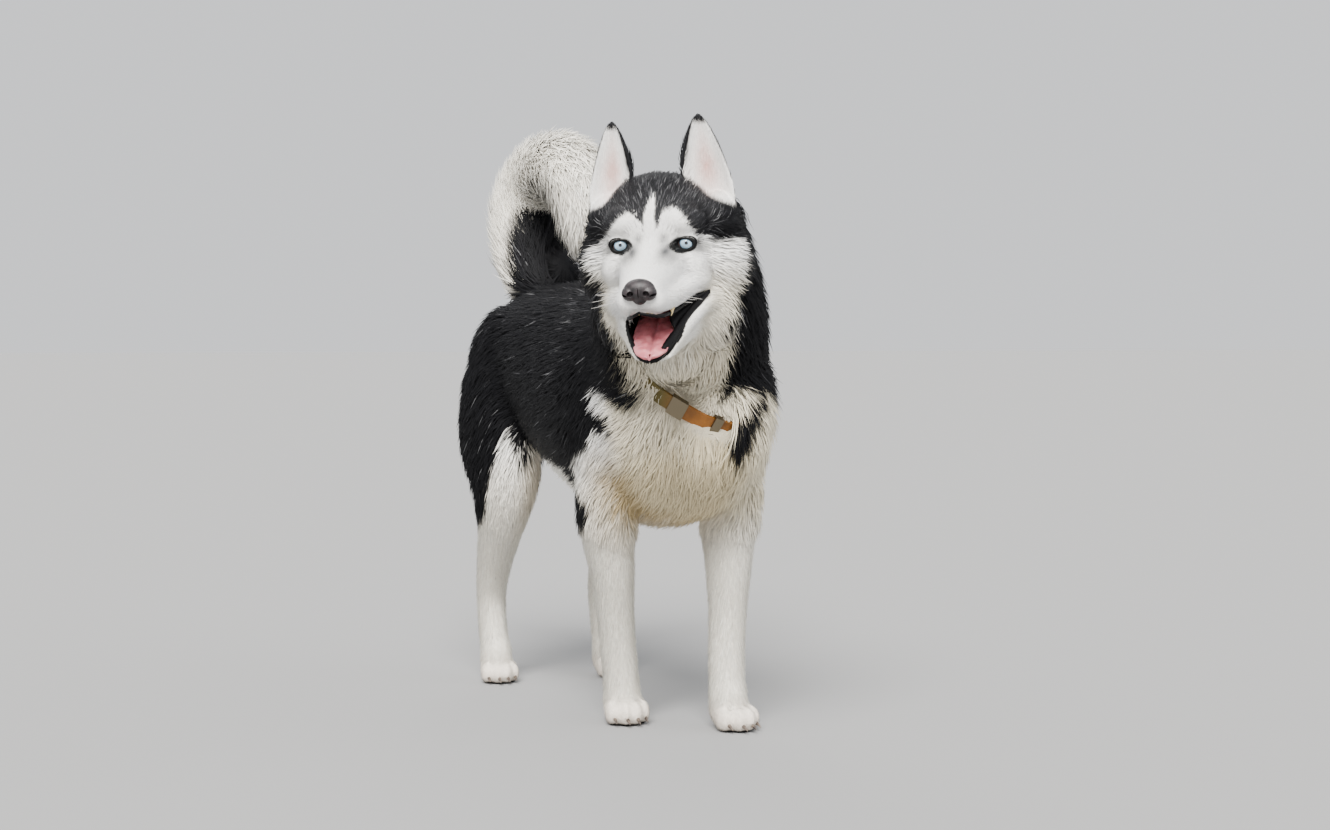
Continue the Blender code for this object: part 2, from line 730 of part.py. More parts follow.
def build_collar(reaches):
    strap = collar_band("collar_strap", reaches, 0, 360, COLLAR_STEPS, STRAP_WIDTH, 0,
                        STRAP_THICKNESS)
    keeper = collar_band("collar_keeper", reaches, KEEPER_ANGLE - 4, KEEPER_ANGLE + 4, 2,
                         STRAP_WIDTH + 0.005, -0.002, STRAP_THICKNESS + 0.002)
    ring = collar_band("collar_ring", reaches, RING_ANGLE - 2, RING_ANGLE + 2, 1,
                       STRAP_WIDTH + 0.006, -0.002, STRAP_THICKNESS + 0.002)
    centre = collar_point(reaches, RING_ANGLE, STRAP_THICKNESS + 0.002, -STRAP_WIDTH / 2 - 0.0125)
    bm = bmesh.new()
    major, minor = 0.0115, 0.0022
    rings = []
    across = (collar_point(reaches, RING_ANGLE + 2)
              - collar_point(reaches, RING_ANGLE - 2)).normalized()
    up = COLLAR_AT.to_3x3() @ Vector((0, 0, 1))
    for k in range(16):
        a = 2 * math.pi * k / 16
        out = across * math.cos(a) + up * math.sin(a)
        rings.append(add_ring(bm, centre + out * major, out, across.cross(up), minor, minor, 6))
    for ring_a, ring_b in zip(rings, rings[1:] + rings[:1]):
        bridge(bm, ring_a, ring_b)
    union(ring, object_from(bm, "hoop"))
    make_room(keeper, strap)
    make_room(ring, strap)
    return [strap, keeper, ring]


def tree_of(*objects):
    """One search tree over the surfaces of the objects."""
    bm = bmesh.new()
    for obj in objects:
        bm.from_mesh(obj.data)
    tree = BVHTree.FromBMesh(bm)
    bm.free()
    return tree


def lock(tree, root, way, length, width, rise):
    """A flat, tapered lock that follows the surface under it and lifts towards its tip. Its root
    ring is sunk into the core."""
    place, normal = tree.find_nearest(root)[:2]
    way = (way - normal * way.dot(normal)).normalized()
    bm = bmesh.new()
    rings = []
    done = 0.0
    for share, wide, thick in ((0.0, 0.75, 0.0040), (0.34, 1.0, 0.0034), (0.70, 0.66, 0.0022)):
        place, normal = tree.find_nearest(place + way * (length * (share - done)))[:2]
        way = (way - normal * way.dot(normal)).normalized()
        done = share
        height = rise * share ** 0.9 if share else -LOCK_SINK
        rings.append(add_ring(bm, place + normal * height, normal.cross(way), normal,
                              width * wide / 2, thick / 2, 4))
    place, normal = tree.find_nearest(place + way * (length * (1 - done)))[:2]
    for ring, following in zip(rings, rings[1:]):
        bridge(bm, ring, following)
    fan(bm, rings[-1], place + normal * rise)
    bm.faces.new(rings[0])
    bmesh.ops.triangulate(bm, faces=bm.faces)
    return object_from(bm, "lock")


def grow(node, tree, roots, draw, length, width, rise):
    """Fuses a lock to the node at each root. A root is a start, a ray that leads from it to the
    skin, and the way the hair lies there."""
    locks = []
    for start, ray, way in roots:
        far = start + ray.normalized() * 0.4
        hit = tree.ray_cast(far, -ray.normalized(), 0.4)[0]
        if hit is None:
            continue
        stray = Vector((draw.uniform(-1, 1), draw.uniform(-1, 1), draw.uniform(-1, 1))) * 0.10
        locks.append(lock(tree, hit, way.normalized() + stray, length * draw.uniform(0.88, 1.12),
                          width * draw.uniform(0.85, 1.1), rise * draw.uniform(0.85, 1.0)))
    return union(node, *locks, solver="MANIFOLD")


def round_axis(rows, share, count, offset):
    """Start, outward ray and the way down the axis for locks set round a loft at this share."""
    fine = smooth_rows(rows, 8)
    i = min(len(fine) - 2, int(share * (len(fine) - 1)))
    centre = Vector(fine[i][:3])
    along = (Vector(fine[i + 1][:3]) - centre).normalized()
    across = (Vector((1, 0, 0)) - along * along.x).normalized()
    up = along.cross(across)
    for k in range(count):
        a = 2 * math.pi * (k + offset) / count
        yield centre, across * math.cos(a) + up * math.sin(a), along


def tail_locks(pieces, tree):
    """Rows of locks round the tail, lying towards its tip."""
    draw = random.Random(41)
    rows = [(0, y, z, r, r) for y, z, r in TAIL]
    plan = {
        "tail_root": ((0.05, 8), (0.14, 8), (0.25, 8)),
        "tail_middle": ((0.39, 8), (0.47, 8), (0.56, 8)),
        "tail_tip": ((0.70, 7), (0.80, 6), (0.89, 5)),
    }
    for piece in pieces:
        roots = []
        for row, (share, count) in enumerate(plan[piece.name]):
            roots += list(round_axis(rows, share, count, 0.5 * (row % 2)))
        grow(piece, tree, roots, draw, 0.066, 0.029, 0.026)


def ruff_locks(neck, tree):
    """Rows of locks round the neck above the collar, lying towards the shoulders."""
    draw = random.Random(12)
    roots = []
    for row, (share, count) in enumerate(((0.46, 9), (0.64, 9), (0.82, 8))):
        for start, ray, along in round_axis(NECK, share, count, 0.5 * (row % 2)):
            roots.append((start, ray, -along))
    return grow(neck, tree, roots, draw, 0.052, 0.040, RUFF_RISE)


def cheek_locks(head, tree):
    """Locks that fan back and down from the cheeks and hang under the throat."""
    draw = random.Random(13)
    turn = HEAD.to_3x3()
    roots = []
    for sign in (1, -1):
        for up, ahead in ((0.35, 0.35), (0.0, 0.30), (-0.35, 0.25), (0.20, -0.25), (-0.20, -0.30),
                          (-0.62, -0.15), (-0.95, 0.10)):
            start = HEAD @ Vector((sign * 0.020, 0.060, -0.040))
            way = turn @ Vector((sign * 0.25, 0.75, -0.60 + up * 0.3))
            roots.append((start, turn @ Vector((sign, ahead, up)), way))
    for across in (-0.5, 0.0, 0.5):
        roots.append((HEAD @ Vector((0.010, 0.060, -0.100)), turn @ Vector((across, -0.55, -1)),
                      turn @ Vector((across * 0.3, 0.55, -1))))
    return grow(head, tree, roots, draw, 0.040, 0.026, CHEEK_RISE)


def body_locks(torso, tree):
    """Locks down the chest, along the belly and on the backs of the thighs."""
    draw = random.Random(14)
    down = Vector((0, 0, -1))
    roots = []
    for row, height in enumerate((0.395, 0.350, 0.305)):
        for step in range(4):
            across = (step - 1.5 + 0.5 * (row % 2) - 0.25) * 0.42
            roots.append((Vector((0, 0.00, height)), Vector((across, -1, 0)),
                          Vector((across * 0.15, 0.2, -1))))
    grow(torso, tree, roots, draw, 0.050, 0.034, RUFF_RISE * 0.8)
    roots = []
    for sign in (1, -1):
        for row, height in enumerate((0.460, 0.425, 0.390, 0.355)):
            for across in ((-0.40, 0.30) if row % 2 else (-0.05, 0.55)):
                roots.append((Vector((sign * 0.070, 0.40, height)), Vector((sign * across, 1, 0)),
                              Vector((0, 0.3, -1))))
        for step in range(4):
            roots.append((Vector((sign * 0.035, 0.06 + 0.055 * step, 0.42)), Vector((sign * 0.25, 0, -1)),
                          Vector((sign * 0.2, 1, 0.1))))
    return grow(torso, tree, roots, draw, 0.048, 0.032, BREECH_RISE)


def shank_locks(leg, sign, tree):
    """Locks that carry the breeches on down the back of the thigh."""
    draw = random.Random(15)
    roots = [(Vector((sign * 0.084, 0.37, height)), Vector((sign * across, 1, 0)), Vector((0, 0.2, -1)))
             for height, across in ((0.292, -0.3), (0.292, 0.5), (0.262, 0.1))]
    return grow(leg, tree, roots, draw, 0.040, 0.024, BREECH_RISE * 0.8)


SLOTS = {
    "head": "white_coat", "jaw": "white_coat", "neck": "black_coat", "torso": "black_coat",
    "nose": "nose_leather", "tongue": "tongue", "ear_left": "black_coat", "ear_right": "black_coat",
    "eye_left": "eye", "eye_right": "eye", "tail_root": "black_coat", "tail_middle": "white_coat",
    "tail_tip": "white_coat", "collar_strap": "collar_leather", "collar_keeper": "collar_metal",
    "collar_ring": "collar_metal",
}
NECK_BASE = shifted(0, -0.030, 0.490) @ turned(x=45)


def stand_on_origin(nodes):
    """Sets the middle of the whole dog's footprint on the origin."""
    points = [v.co for node in nodes for v in node.data.vertices]
    x, y = [(max(p[i] for p in points) + min(p[i] for p in points)) / 2 for i in (0, 1)]
    for node in nodes:
        node.data.transform(shifted(-x, -y, 0))


def main():
    clear_scene()
    body = build_body()
    head, *face = build_head()
    reaches = collar_reaches([body])
    skin = tree_of(body, head)
    tail = build_tail(body)
    tail_skin = tree_of(*tail)
    legs = build_legs(body)
    neck = part_off(body, "neck", (-0.3, -0.35, 0), (0.3, 0.35, 0.5), NECK_BASE)
    collar = build_collar(reaches)
    tail_locks(tail, tail_skin)
    ruff_locks(neck, skin)
    body_locks(body, skin)
    cheek_locks(head, skin)
    for leg in legs:
        if leg.name.startswith("hind_leg"):
            shank_locks(leg, 1 if leg.name.endswith("left") else -1, skin)
    for flesh in (neck, body, head):
        make_room(flesh, *collar)
    trim_neck(head)
    trim_face(neck)
    for under, over in ((body, neck), (tail[0], tail[1]), (tail[2], tail[1])):
        make_room(under, over)
    nodes = [head, *face, *tail, *legs, neck, body, *collar]
    for node in nodes:
        dress(node, SLOTS.get(node.name, "cream_coat"))
    stand_on_origin(nodes)


main()
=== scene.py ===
"""The looks of a still, life-size Siberian husky: skin, coat, face and collar over its CAD frame.
The dog faces -Y, its left side is +X and +Z is up. Tables, blobs, spikes, markings and the coat's
roots, seeds and lengths are in millimetres, and meshes, lines and lights in metres. PLACE moves
every finished piece into the model's frame."""

import json
import math

import bmesh
import bpy
import numpy as np
from mathutils import Euler, Matrix, Vector
from mathutils.bvhtree import BVHTree

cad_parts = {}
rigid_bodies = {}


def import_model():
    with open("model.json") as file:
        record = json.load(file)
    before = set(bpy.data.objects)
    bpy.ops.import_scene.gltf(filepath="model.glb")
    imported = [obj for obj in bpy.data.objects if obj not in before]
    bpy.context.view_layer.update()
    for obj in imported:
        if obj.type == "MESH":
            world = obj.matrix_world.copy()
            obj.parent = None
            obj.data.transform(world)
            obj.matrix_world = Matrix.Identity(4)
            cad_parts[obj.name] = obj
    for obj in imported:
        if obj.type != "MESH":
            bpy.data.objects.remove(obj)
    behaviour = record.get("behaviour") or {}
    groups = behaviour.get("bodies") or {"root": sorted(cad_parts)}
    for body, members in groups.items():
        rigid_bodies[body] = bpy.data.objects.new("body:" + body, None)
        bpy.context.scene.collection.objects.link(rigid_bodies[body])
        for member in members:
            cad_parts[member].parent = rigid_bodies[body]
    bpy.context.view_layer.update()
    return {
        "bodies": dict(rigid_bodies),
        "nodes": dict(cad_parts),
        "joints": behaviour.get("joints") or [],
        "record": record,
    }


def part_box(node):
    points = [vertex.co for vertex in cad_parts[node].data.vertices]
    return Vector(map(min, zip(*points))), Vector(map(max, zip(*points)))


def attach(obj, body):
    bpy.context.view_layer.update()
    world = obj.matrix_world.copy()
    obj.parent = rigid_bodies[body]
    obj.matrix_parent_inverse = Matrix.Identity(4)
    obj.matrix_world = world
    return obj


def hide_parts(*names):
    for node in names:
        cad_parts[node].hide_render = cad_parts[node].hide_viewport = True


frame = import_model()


def mm(value):
    """Millimetres as metres, alone or in nested rows."""
    return tuple(map(mm, value)) if isinstance(value, (tuple, list)) else value / 1000


def turned(x=0, y=0, z=0):
    """A rotation by degrees about X, then Y, then Z."""
    return (Matrix.Rotation(math.radians(z), 4, "Z") @ Matrix.Rotation(math.radians(y), 4, "Y")
            @ Matrix.Rotation(math.radians(x), 4, "X"))


def shifted(x, y, z):
    return Matrix.Translation((x, y, z))


# The head's own frame: its origin is between the eyes, -Y runs along the muzzle, +X is its left.
HEAD = shifted(-0.139, -0.246, 0.610) @ turned(z=-34) @ turned(x=8) @ turned(y=-1.5)
EYE_OUT = 38.5
EYE_BACK = 13.3
EYE_RADIUS = 11.8
SIGN = {"left": 1, "right": -1}


def find_place():
    """The move from the dog's own frame to the model's, from where the eyes are in both."""
    own = HEAD @ Vector((0, EYE_BACK / 1000, 0))
    corners = [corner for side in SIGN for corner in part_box("eye_" + side)]
    there = sum(corners, Vector()) / 4
    return Vector((there.x - own.x, there.y - own.y, 0))


PLACE = find_place()

# Rings of the body's masses, out to the tips of the coat: x, y, z, half width, half depth.
TORSO = mm((
    (0, -130, 378, 75, 85), (0, -95, 388, 104, 126), (0, -30, 404, 122, 158), (0, 50, 414, 128, 164),
    (0, 140, 424, 130, 160), (0, 230, 441, 124, 147), (0, 310, 458, 118, 131), (0, 380, 468, 114, 119),
    (0, 440, 470, 102, 104), (0, 475, 462, 80, 82),
))
NECK = mm((
    (0, -20, 440, 112, 120), (-12, -68, 500, 114, 114), (-34, -100, 555, 112, 106),
    (-56, -122, 610, 106, 94), (-70, -136, 640, 86, 76),
))
LEGS = {"fore": mm((
    (74, 0, 310, 40, 60), (74, 4, 250, 36, 47), (70, -2, 200, 31, 38), (67, -4, 150, 27, 31),
    (64, -6, 100, 26.5, 28), (62, -10, 60, 26, 28), (62, -16, 32, 25, 27),
)), "hind": mm((
    (68, 405, 440, 62, 95), (82, 398, 370, 56, 98), (88, 378, 300, 46, 74), (87, 396, 235, 34, 50),
    (86, 425, 175, 27, 36), (85, 440, 130, 24, 30), (85, 437, 90, 23.5, 27), (85, 426, 50, 24, 27),
    (85, 418, 32, 23, 26),
))}
TAIL = mm((
    (0, 440, 540, 56, 56), (0, 470, 590, 63, 63), (0, 496, 645, 68, 68), (0, 500, 700, 66, 66),
    (0, 462, 738, 57, 57), (0, 400, 751, 55, 55), (0, 335, 742, 54, 54), (0, 288, 708, 51, 51),
    (0, 270, 665, 40, 40), (0, 274, 632, 20, 20),
))
TAIL_BONE = 0.60
TAIL_CORE = [(x, y, z, a * TAIL_BONE, b * TAIL_BONE) for x, y, z, a, b in TAIL]
MUZZLE = mm((
    (0, 45, -14, 52, 40), (0, 0, -27, 43, 36), (0, -35, -37, 35, 31), (0, -70, -44, 30, 27.5),
    (0, -96, -48, 25.5, 23.5),
))
JAW = mm((
    (3, 40, -88, 60, 36), (4, 12, -92, 54, 34), (6, -20, -100, 44, 22), (7, -55, -112, 32.5, 12.5),
    (8, -80, -120.5, 23, 6.8),
))
TONGUE = mm((
    (4, 8, -78, 19, 6), (6, -25, -88, 22.5, 6), (6.5, -55, -100, 23.6, 5.5), (7, -78, -109, 21, 5),
    (7.5, -93, -114, 16, 4.2), (8, -100.5, -116.8, 9, 3),
))
MOUTH = (
    (8, 20, -70, 24, 8), (7.5, -20, -79, 30, 15), (7.5, -55, -90.5, 27.5, 20.5),
    (8, -85, -94.5, 21.5, 24.5), (8, -120, -93.5, 20, 27.5),
)
# The flesh over the upper lip and under the lower one, on each side.
CHEEK_ROLLS = mm((
    ((19, -88, -57, 12, 12.5), (27, -65, -56, 12.5, 13.5), (35, -35, -52.5, 13, 13.5),
     (44.5, -10, -46, 13.5, 13.5), (53, 14, -42, 15, 15)),
    ((25, -72, -114, 8.5, 8.5), (35.5, -44, -98.5, 9.5, 10), (45.5, -18, -83.5, 10, 10.5),
     (53.5, 4, -73.5, 11.5, 12), (58, 20, -68, 14, 15)),
    ((-10, -70, -113, 8, 7.5), (-17.5, -50, -101, 9, 9.5), (-22.5, -34, -92, 10, 11),
     (-30, -12, -84, 12, 13), (-36, 8, -78, 14, 16)),
    ((-12, -88, -60, 12, 13), (-18, -65, -62, 12.5, 15), (-24, -35, -64, 14, 18),
     (-36, -8, -66, 15, 20), (-46, 14, -66, 16, 20)),
))
# How far each foot stands back from under its shoulder or hip, and how far out.
STANCE = {"fore": {"left": (-44, -6), "right": (56, -12)}, "hind": {"left": (-22, 0), "right": (0, 0)}}
# The toes of a paw: place across it in toe widths, place along it and turn.
TOES = ((-1.5, -18, -8), (-0.5, -31, -3), (0.5, -31, 3), (1.5, -18, 8))
PAW_SIZE = {"fore": 0.93, "hind": 0.88}

# How deep the skin lies under the coat's tips.
TORSO_COAT = 12
CHEST_COAT = 16
NECK_COAT = 21
LEG_COAT = 4.5
CHEEK_COAT = 14
SKULL_COAT = 6
MUZZLE_COAT = 2


def link(made):
    bpy.context.scene.collection.objects.link(made)
    return made


def smooth_rows(stations, per_span):
    """Catmull-Rom rows through the stations, whatever numbers each one holds."""
    rows = []
    last = len(stations) - 1
    for i in range(last):
        near = [stations[max(0, min(last, i + k))] for k in (-1, 0, 1, 2)]
        for j in range(per_span):
            t = j / per_span
            rows.append(tuple(
                0.5 * (2 * b + (c - a) * t + (2 * a - 5 * b + 4 * c - d) * t * t
                       + (3 * b - a - 3 * c + d) * t ** 3)
                for a, b, c, d in zip(*near)
            ))
    return rows + [tuple(stations[-1])]


def add_ring(bm, centre, side, up, half_width, half_depth, sides):
    angles = [2 * math.pi * k / sides for k in range(sides)]
    return [bm.verts.new(centre + side * (half_width * math.cos(a)) + up * (half_depth * math.sin(a)))
            for a in angles]


def bridge(bm, rings):
    """Faces between each ring and the next."""
    for ring, following in zip(rings, rings[1:]):
        n = len(ring)
        for k in range(n):
            bm.faces.new((ring[k], ring[(k + 1) % n], following[(k + 1) % n], following[k]))


def fan(bm, ring, point):
    tip = bm.verts.new(point)
    for k in range(len(ring)):
        bm.faces.new((tip, ring[k], ring[(k + 1) % len(ring)]))


def add_loft(bm, stations, frame=Matrix(), sides=24, per_span=4, dome=0.6):
    """A closed skin over elliptical rings along a smooth line, with domed ends."""
    rows = smooth_rows(stations, per_span)
    last = len(rows) - 1
    centres = [frame @ Vector(row[:3]) for row in rows]
    frames = []
    for i in range(last + 1):
        along = (centres[min(i + 1, last)] - centres[max(i - 1, 0)]).normalized()
        across = frame.to_3x3() @ Vector((1, 0, 0))
        across = (across - along * across.dot(along)).normalized()
        frames.append((along, across, along.cross(across)))

    def ring_at(i, share):
        """A ring of this row, moved out over its end by a share of the dome."""
        along, across, up = frames[i]
        shrink = math.sqrt(1 - share * share)
        reach = dome * min(rows[i][3:5]) * share
        return add_ring(bm, centres[i] + along * reach, across, up, rows[i][3] * shrink,
                        rows[i][4] * shrink, sides)

    rings = [ring_at(0, -share) for share in (0.95, 0.8, 0.5)]
    rings += [ring_at(i, 0) for i in range(last + 1)]
    rings += [ring_at(last, share) for share in (0.5, 0.8, 0.95)]
    bridge(bm, rings)
    fan(bm, rings[0], centres[0] - frames[0][0] * (dome * min(rows[0][3:5])))
    fan(bm, rings[-1], centres[-1] + frames[-1][0] * (dome * min(rows[-1][3:5])))


def add_blob(bm, centre, radii, turn=(0, 0, 0), frame=Matrix(), fineness=4):
    """An ellipsoid, turned by degrees about X, Y and Z."""
    place = frame @ shifted(*mm(centre)) @ turned(*turn) @ Matrix.Diagonal((*mm(radii), 1))
    bmesh.ops.create_icosphere(bm, subdivisions=fineness, radius=1, matrix=place)


def object_from(bm, name):
    bmesh.ops.recalc_face_normals(bm, faces=bm.faces)
    mesh = bpy.data.meshes.new(name)
    bm.to_mesh(mesh)
    bm.free()
    return link(bpy.data.objects.new(name, mesh))


def bake(obj):
    """Replaces the object's mesh by the evaluated one and drops its modifiers."""
    graph = bpy.context.evaluated_depsgraph_get()
    mesh = bpy.data.meshes.new_from_object(obj.evaluated_get(graph))
    obj.modifiers.clear()
    obj.data = mesh
    return obj


def ease(obj, times, group=""):
    """Smooths the object, or only its named group."""
    smoothing = obj.modifiers.new("ease", "SMOOTH")
    smoothing.factor = 0.5
    smoothing.iterations = times
    smoothing.vertex_group = group
    return bake(obj)


def fuse(obj, voxel, times):
    """Fuses overlapping masses into one soft skin of even faces."""
    remesh = obj.modifiers.new("fuse", "REMESH")
    remesh.mode = "VOXEL"
    remesh.voxel_size = voxel
    return ease(obj, times)


def combine(obj, others, operation):
    """One Boolean of the object with each of the others, which are used up."""
    for other in others:
        cut = obj.modifiers.new("cut", "BOOLEAN")
        cut.operation = operation
        cut.solver = "MANIFOLD"
        cut.object = other
        bake(obj)
        bpy.data.objects.remove(other)
    return obj


def lowered(rows, depth):
    depth = depth / 1000
    return [(x, y, z, half_width - depth, half_depth - depth)
            for x, y, z, half_width, half_depth in rows]


def thin(radii, depth):
    return [r - depth for r in radii]


def leg_rows(kind, side):
    """A leg's rings on this side, its foot moved from under the shoulder or hip."""
    rows = LEGS[kind]
    step, out = mm(STANCE[kind][side])
    top, bottom = rows[0][2], rows[-1][2]
    moved = []
    for x, y, z, half_width, half_depth in rows:
        share = (top - z) / (top - bottom)
        moved.append((SIGN[side] * (x + out * share), y + step * (0.55 + 0.45 * share), z,
                      half_width, half_depth))
    return moved


def paw_frame(kind, side):
    x, y = leg_rows(kind, side)[-1][:2]
    return shifted(x, y, 0) @ turned(z=6 * SIGN[side]) @ Matrix.Scale(PAW_SIZE[kind], 4)


def body_masses(bm):
    add_loft(bm, lowered(TORSO[:3], CHEST_COAT) + lowered(TORSO[3:], TORSO_COAT), sides=32)
    add_loft(bm, lowered(NECK, NECK_COAT), sides=32)
    for side, sign in SIGN.items():
        step, back = STANCE["fore"][side][0], STANCE["hind"][side][0]
        for kind in STANCE:
            add_loft(bm, lowered(leg_rows(kind, side), LEG_COAT))
        for x, y, z, radii, lean in ((74, step * 0.55 - 6, 375, (48, 74, 115), 12),
                                     (70, 408 + back * 0.4, 435, (60, 94, 122), -8),
                                     (78, 403 + back * 0.5, 375, (57, 106, 122), 8)):
            add_blob(bm, (sign * x, y, z), thin(radii, TORSO_COAT), (lean, 0, 0))
        for kind in STANCE:
            paw = paw_frame(kind, side)
            add_blob(bm, (0, 4, 26), (25, 28, 28), frame=paw)
            add_blob(bm, (0, 4, 46), (24.5, 27, 36), frame=paw)
            for toe, ahead, turn in TOES:
                add_blob(bm, (toe * 14.5, ahead, 16.5), (9.2, 19.5, 17.8), (0, 0, turn), paw)
    add_blob(bm, (26, 450, 590), (30, 34, 50))
    add_loft(bm, TAIL_CORE, dome=0.4)


def head_masses(bm):
    def blob(centre, radii, depth=0, turn=(0, 0, 0)):
        add_blob(bm, centre, thin(radii, depth), turn, HEAD)

    blob((0, 72, 8), (84, 84, 75), SKULL_COAT)
    add_loft(bm, lowered(MUZZLE, MUZZLE_COAT), HEAD, dome=0.5)
    add_loft(bm, lowered(JAW, MUZZLE_COAT), HEAD, dome=0.7)
    for roll in CHEEK_ROLLS:
        add_loft(bm, lowered(roll, 1.5), HEAD, sides=20, dome=0.9)
    blob((10, 75, -120), (42, 42, 42))
    for sign in (1, -1):
        wide = 8 if sign > 0 else 0
        blob((sign * 30, 20, 26), (34, 28, 24), 3, (0, sign * 12, 0))
        blob((sign * (58 + wide), 72, -28), (52, 60, 62), CHEEK_COAT)
        blob((sign * (45 + wide), 58, -80), (48, 60, 60), CHEEK_COAT)
        blob((sign * 14, -82, -55), (17.5, 26, 16.5), 1)
        blob((sign * 40, 20, -30), (26, 36, 26), 3)
        blob((sign * (60 + wide), 70, 20), (26, 42, 34))
        blob((sign * EYE_OUT, EYE_BACK, 0), [EYE_RADIUS + 2.8] * 3)
        add_ear(bm, sign)


EAR_BASE = {1: Vector(mm((63, 56, 50))), -1: Vector(mm((57, 56, 50)))}
EAR_TIP = {1: Vector(mm((51, 66, 147))), -1: Vector(mm((52.5, 66, 142)))}
EAR_HALF_WIDTH = {1: 0.042, -1: 0.036}
EAR_WALL = 0.0046
EAR_RINGS = 17
EAR_SIDES = 14
# The front foot of each ear's cup, as the head's distance from its middle and height.
EAR_FOOT = {1: ((24, 83), (61, 52), (92, 38)), -1: ((27.5, 83), (64, 44), (90, 34))}


def add_ear(bm, sign):
    """A pricked ear as a stack of crescents, thick at the root, its cup facing ahead and out."""
    rings = []
    tip = EAR_TIP[sign]
    for step in range(EAR_RINGS + 1):
        level = 0.97 * step / EAR_RINGS
        centre = EAR_BASE[sign].lerp(tip, level)
        width = EAR_HALF_WIDTH[sign] * (1 - level) ** 0.66 * (0.88 + 0.12 * min(1, level / 0.3))
        slant = math.radians(34 * (1 - level))
        across = Vector((math.cos(slant), 0.10, -math.sin(slant))).normalized()
        back = Vector((-0.25, 1, 0.10)).normalized()
        bulge = 0.72 * width + 0.002
        cup = bulge - EAR_WALL - 0.008 * (1 - level)
        points = []
        for k in range(EAR_SIDES + 1):
            a = math.pi * k / EAR_SIDES
            points.append(centre + across * (width * math.cos(a)) + back * (bulge * math.sin(a)))
        for k in range(EAR_SIDES - 1, 0, -1):
            a = math.pi * k / EAR_SIDES
            points.append(centre + across * (0.86 * width * math.cos(a))
                          + back * (cup * math.sin(a) - 0.001))
        rings.append([bm.verts.new(HEAD @ Vector((sign * p.x, p.y, p.z))) for p in points])
    bridge(bm, rings)
    fan(bm, rings[-1], HEAD @ Vector((sign * tip.x, tip.y + 0.004, tip.z)))
    bm.faces.new(rings[0])


def blob_object(name, centre, radii, turn=(0, 0, 0), fineness=4):
    bm = bmesh.new()
    add_blob(bm, centre, radii, turn, HEAD, fineness)
    return object_from(bm, name)


def loft_object(name, stations, **how):
    bm = bmesh.new()
    add_loft(bm, stations, HEAD, **how)
    return object_from(bm, name)


def soften_muzzle(head):
    """Blends the muzzle's sides into the cheeks, below the eyes and above the lips."""
    x, y, z = points_in(HEAD, 1000 * read(head.data.vertices, "co")).T
    weight = under(z, -15, 10) * soft(z, -64, 12) * under(y, 60, 30) * soft(np.abs(x), 10, 10)
    group = head.vertex_groups.new(name="muzzle")
    for level in np.unique(np.round(weight[weight > 0.05], 1)):
        chosen = np.flatnonzero((weight > 0.05) & (np.round(weight, 1) == level))
        group.add(chosen.tolist(), float(level), "REPLACE")
    return ease(head, 60, "muzzle")


HEAD_VOXEL, DRAFT_HEAD_VOXEL = 0.0018, 0.0034
BODY_VOXEL, DRAFT_BODY_VOXEL = 0.0042, 0.0070


def build_head_skin():
    bm = bmesh.new()
    head_masses(bm)
    head = fuse(object_from(bm, "head_skin"), HEAD_VOXEL, 9)
    soften_muzzle(head)
    socket = [EYE_RADIUS + 0.2] * 3
    cutters = [loft_object("mouth", mm(MOUTH))]
    for sign in (1, -1):
        out = sign * EYE_OUT
        cutters.append(blob_object("slit", (out, -4, -0.4), (12.5, 11, 6.8), (0, sign * 8, 0)))
        cutters.append(blob_object("socket", (out, EYE_BACK, 0), socket, fineness=5))
    return combine(head, cutters, "DIFFERENCE")


def build_body_skin():
    bm = bmesh.new()
    body_masses(bm)
    body = fuse(object_from(bm, "body_skin"), BODY_VOXEL, 6)
    sole = bmesh.new()
    bmesh.ops.create_cube(sole, size=2, matrix=shifted(0, 0, -1))
    return combine(body, [object_from(sole, "ground")], "DIFFERENCE")


def read(items, key, kind=float):
    """Three numbers of every item, as rows."""
    found = np.empty(len(items) * 3, np.int32 if kind is int else np.float32)
    items.foreach_get(key, found)
    return found.reshape(-1, 3).astype(kind)


def points_in(frame, points):
    """Points of the dog's frame, in millimetres, seen in another frame."""
    m = np.array(frame.inverted())
    return points @ m[:3, :3].T + 1000 * m[:3, 3]


def soft(value, edge, width):
    """0 below the edge and 1 above it, with a soft step of this width."""
    t = np.clip((value - edge) / width + 0.5, 0, 1)
    return t * t * (3 - 2 * t)


def under(value, edge, width):
    return 1 - soft(value, edge, width)


def among(value, low, high):
    return (value > low) & (value < high)


def spot(u, v, middle, spread):
    """1 at the middle of a soft round patch, falling to 0 around it."""
    return np.exp(-((u - middle[0]) / spread[0]) ** 2 - ((v - middle[1]) / spread[1]) ** 2)


def distance(points, centre, radii=1):
    """How far the points lie from a centre, where the radii count as 1."""
    return np.linalg.norm((points - np.array(centre)) / np.array(radii), axis=1)


def unit(v):
    return v / np.maximum(np.linalg.norm(v, axis=1), 1e-9)[:, None]


def mix(a, b, share):
    return a + (b - a) * share[:, None]


RIPPLES = ((1.0, 0.7, -0.5), (-0.6, 1.1, 0.8), (0.5, -0.9, 1.2), (1.3, 0.4, 0.9))


def ripple(points, scale, seed=0.0):
    """Smooth noise from -1 to 1 whose waves are about this long."""
    total = 0
    for k, way in enumerate(RIPPLES):
        wave = points @ np.array(way) * (6.28 / scale) * (1 + 0.37 * k)
        total = total + np.sin(wave + seed + 1.7 * k + 1.3 * np.sin(wave * 0.53 + k))
    return total / 4


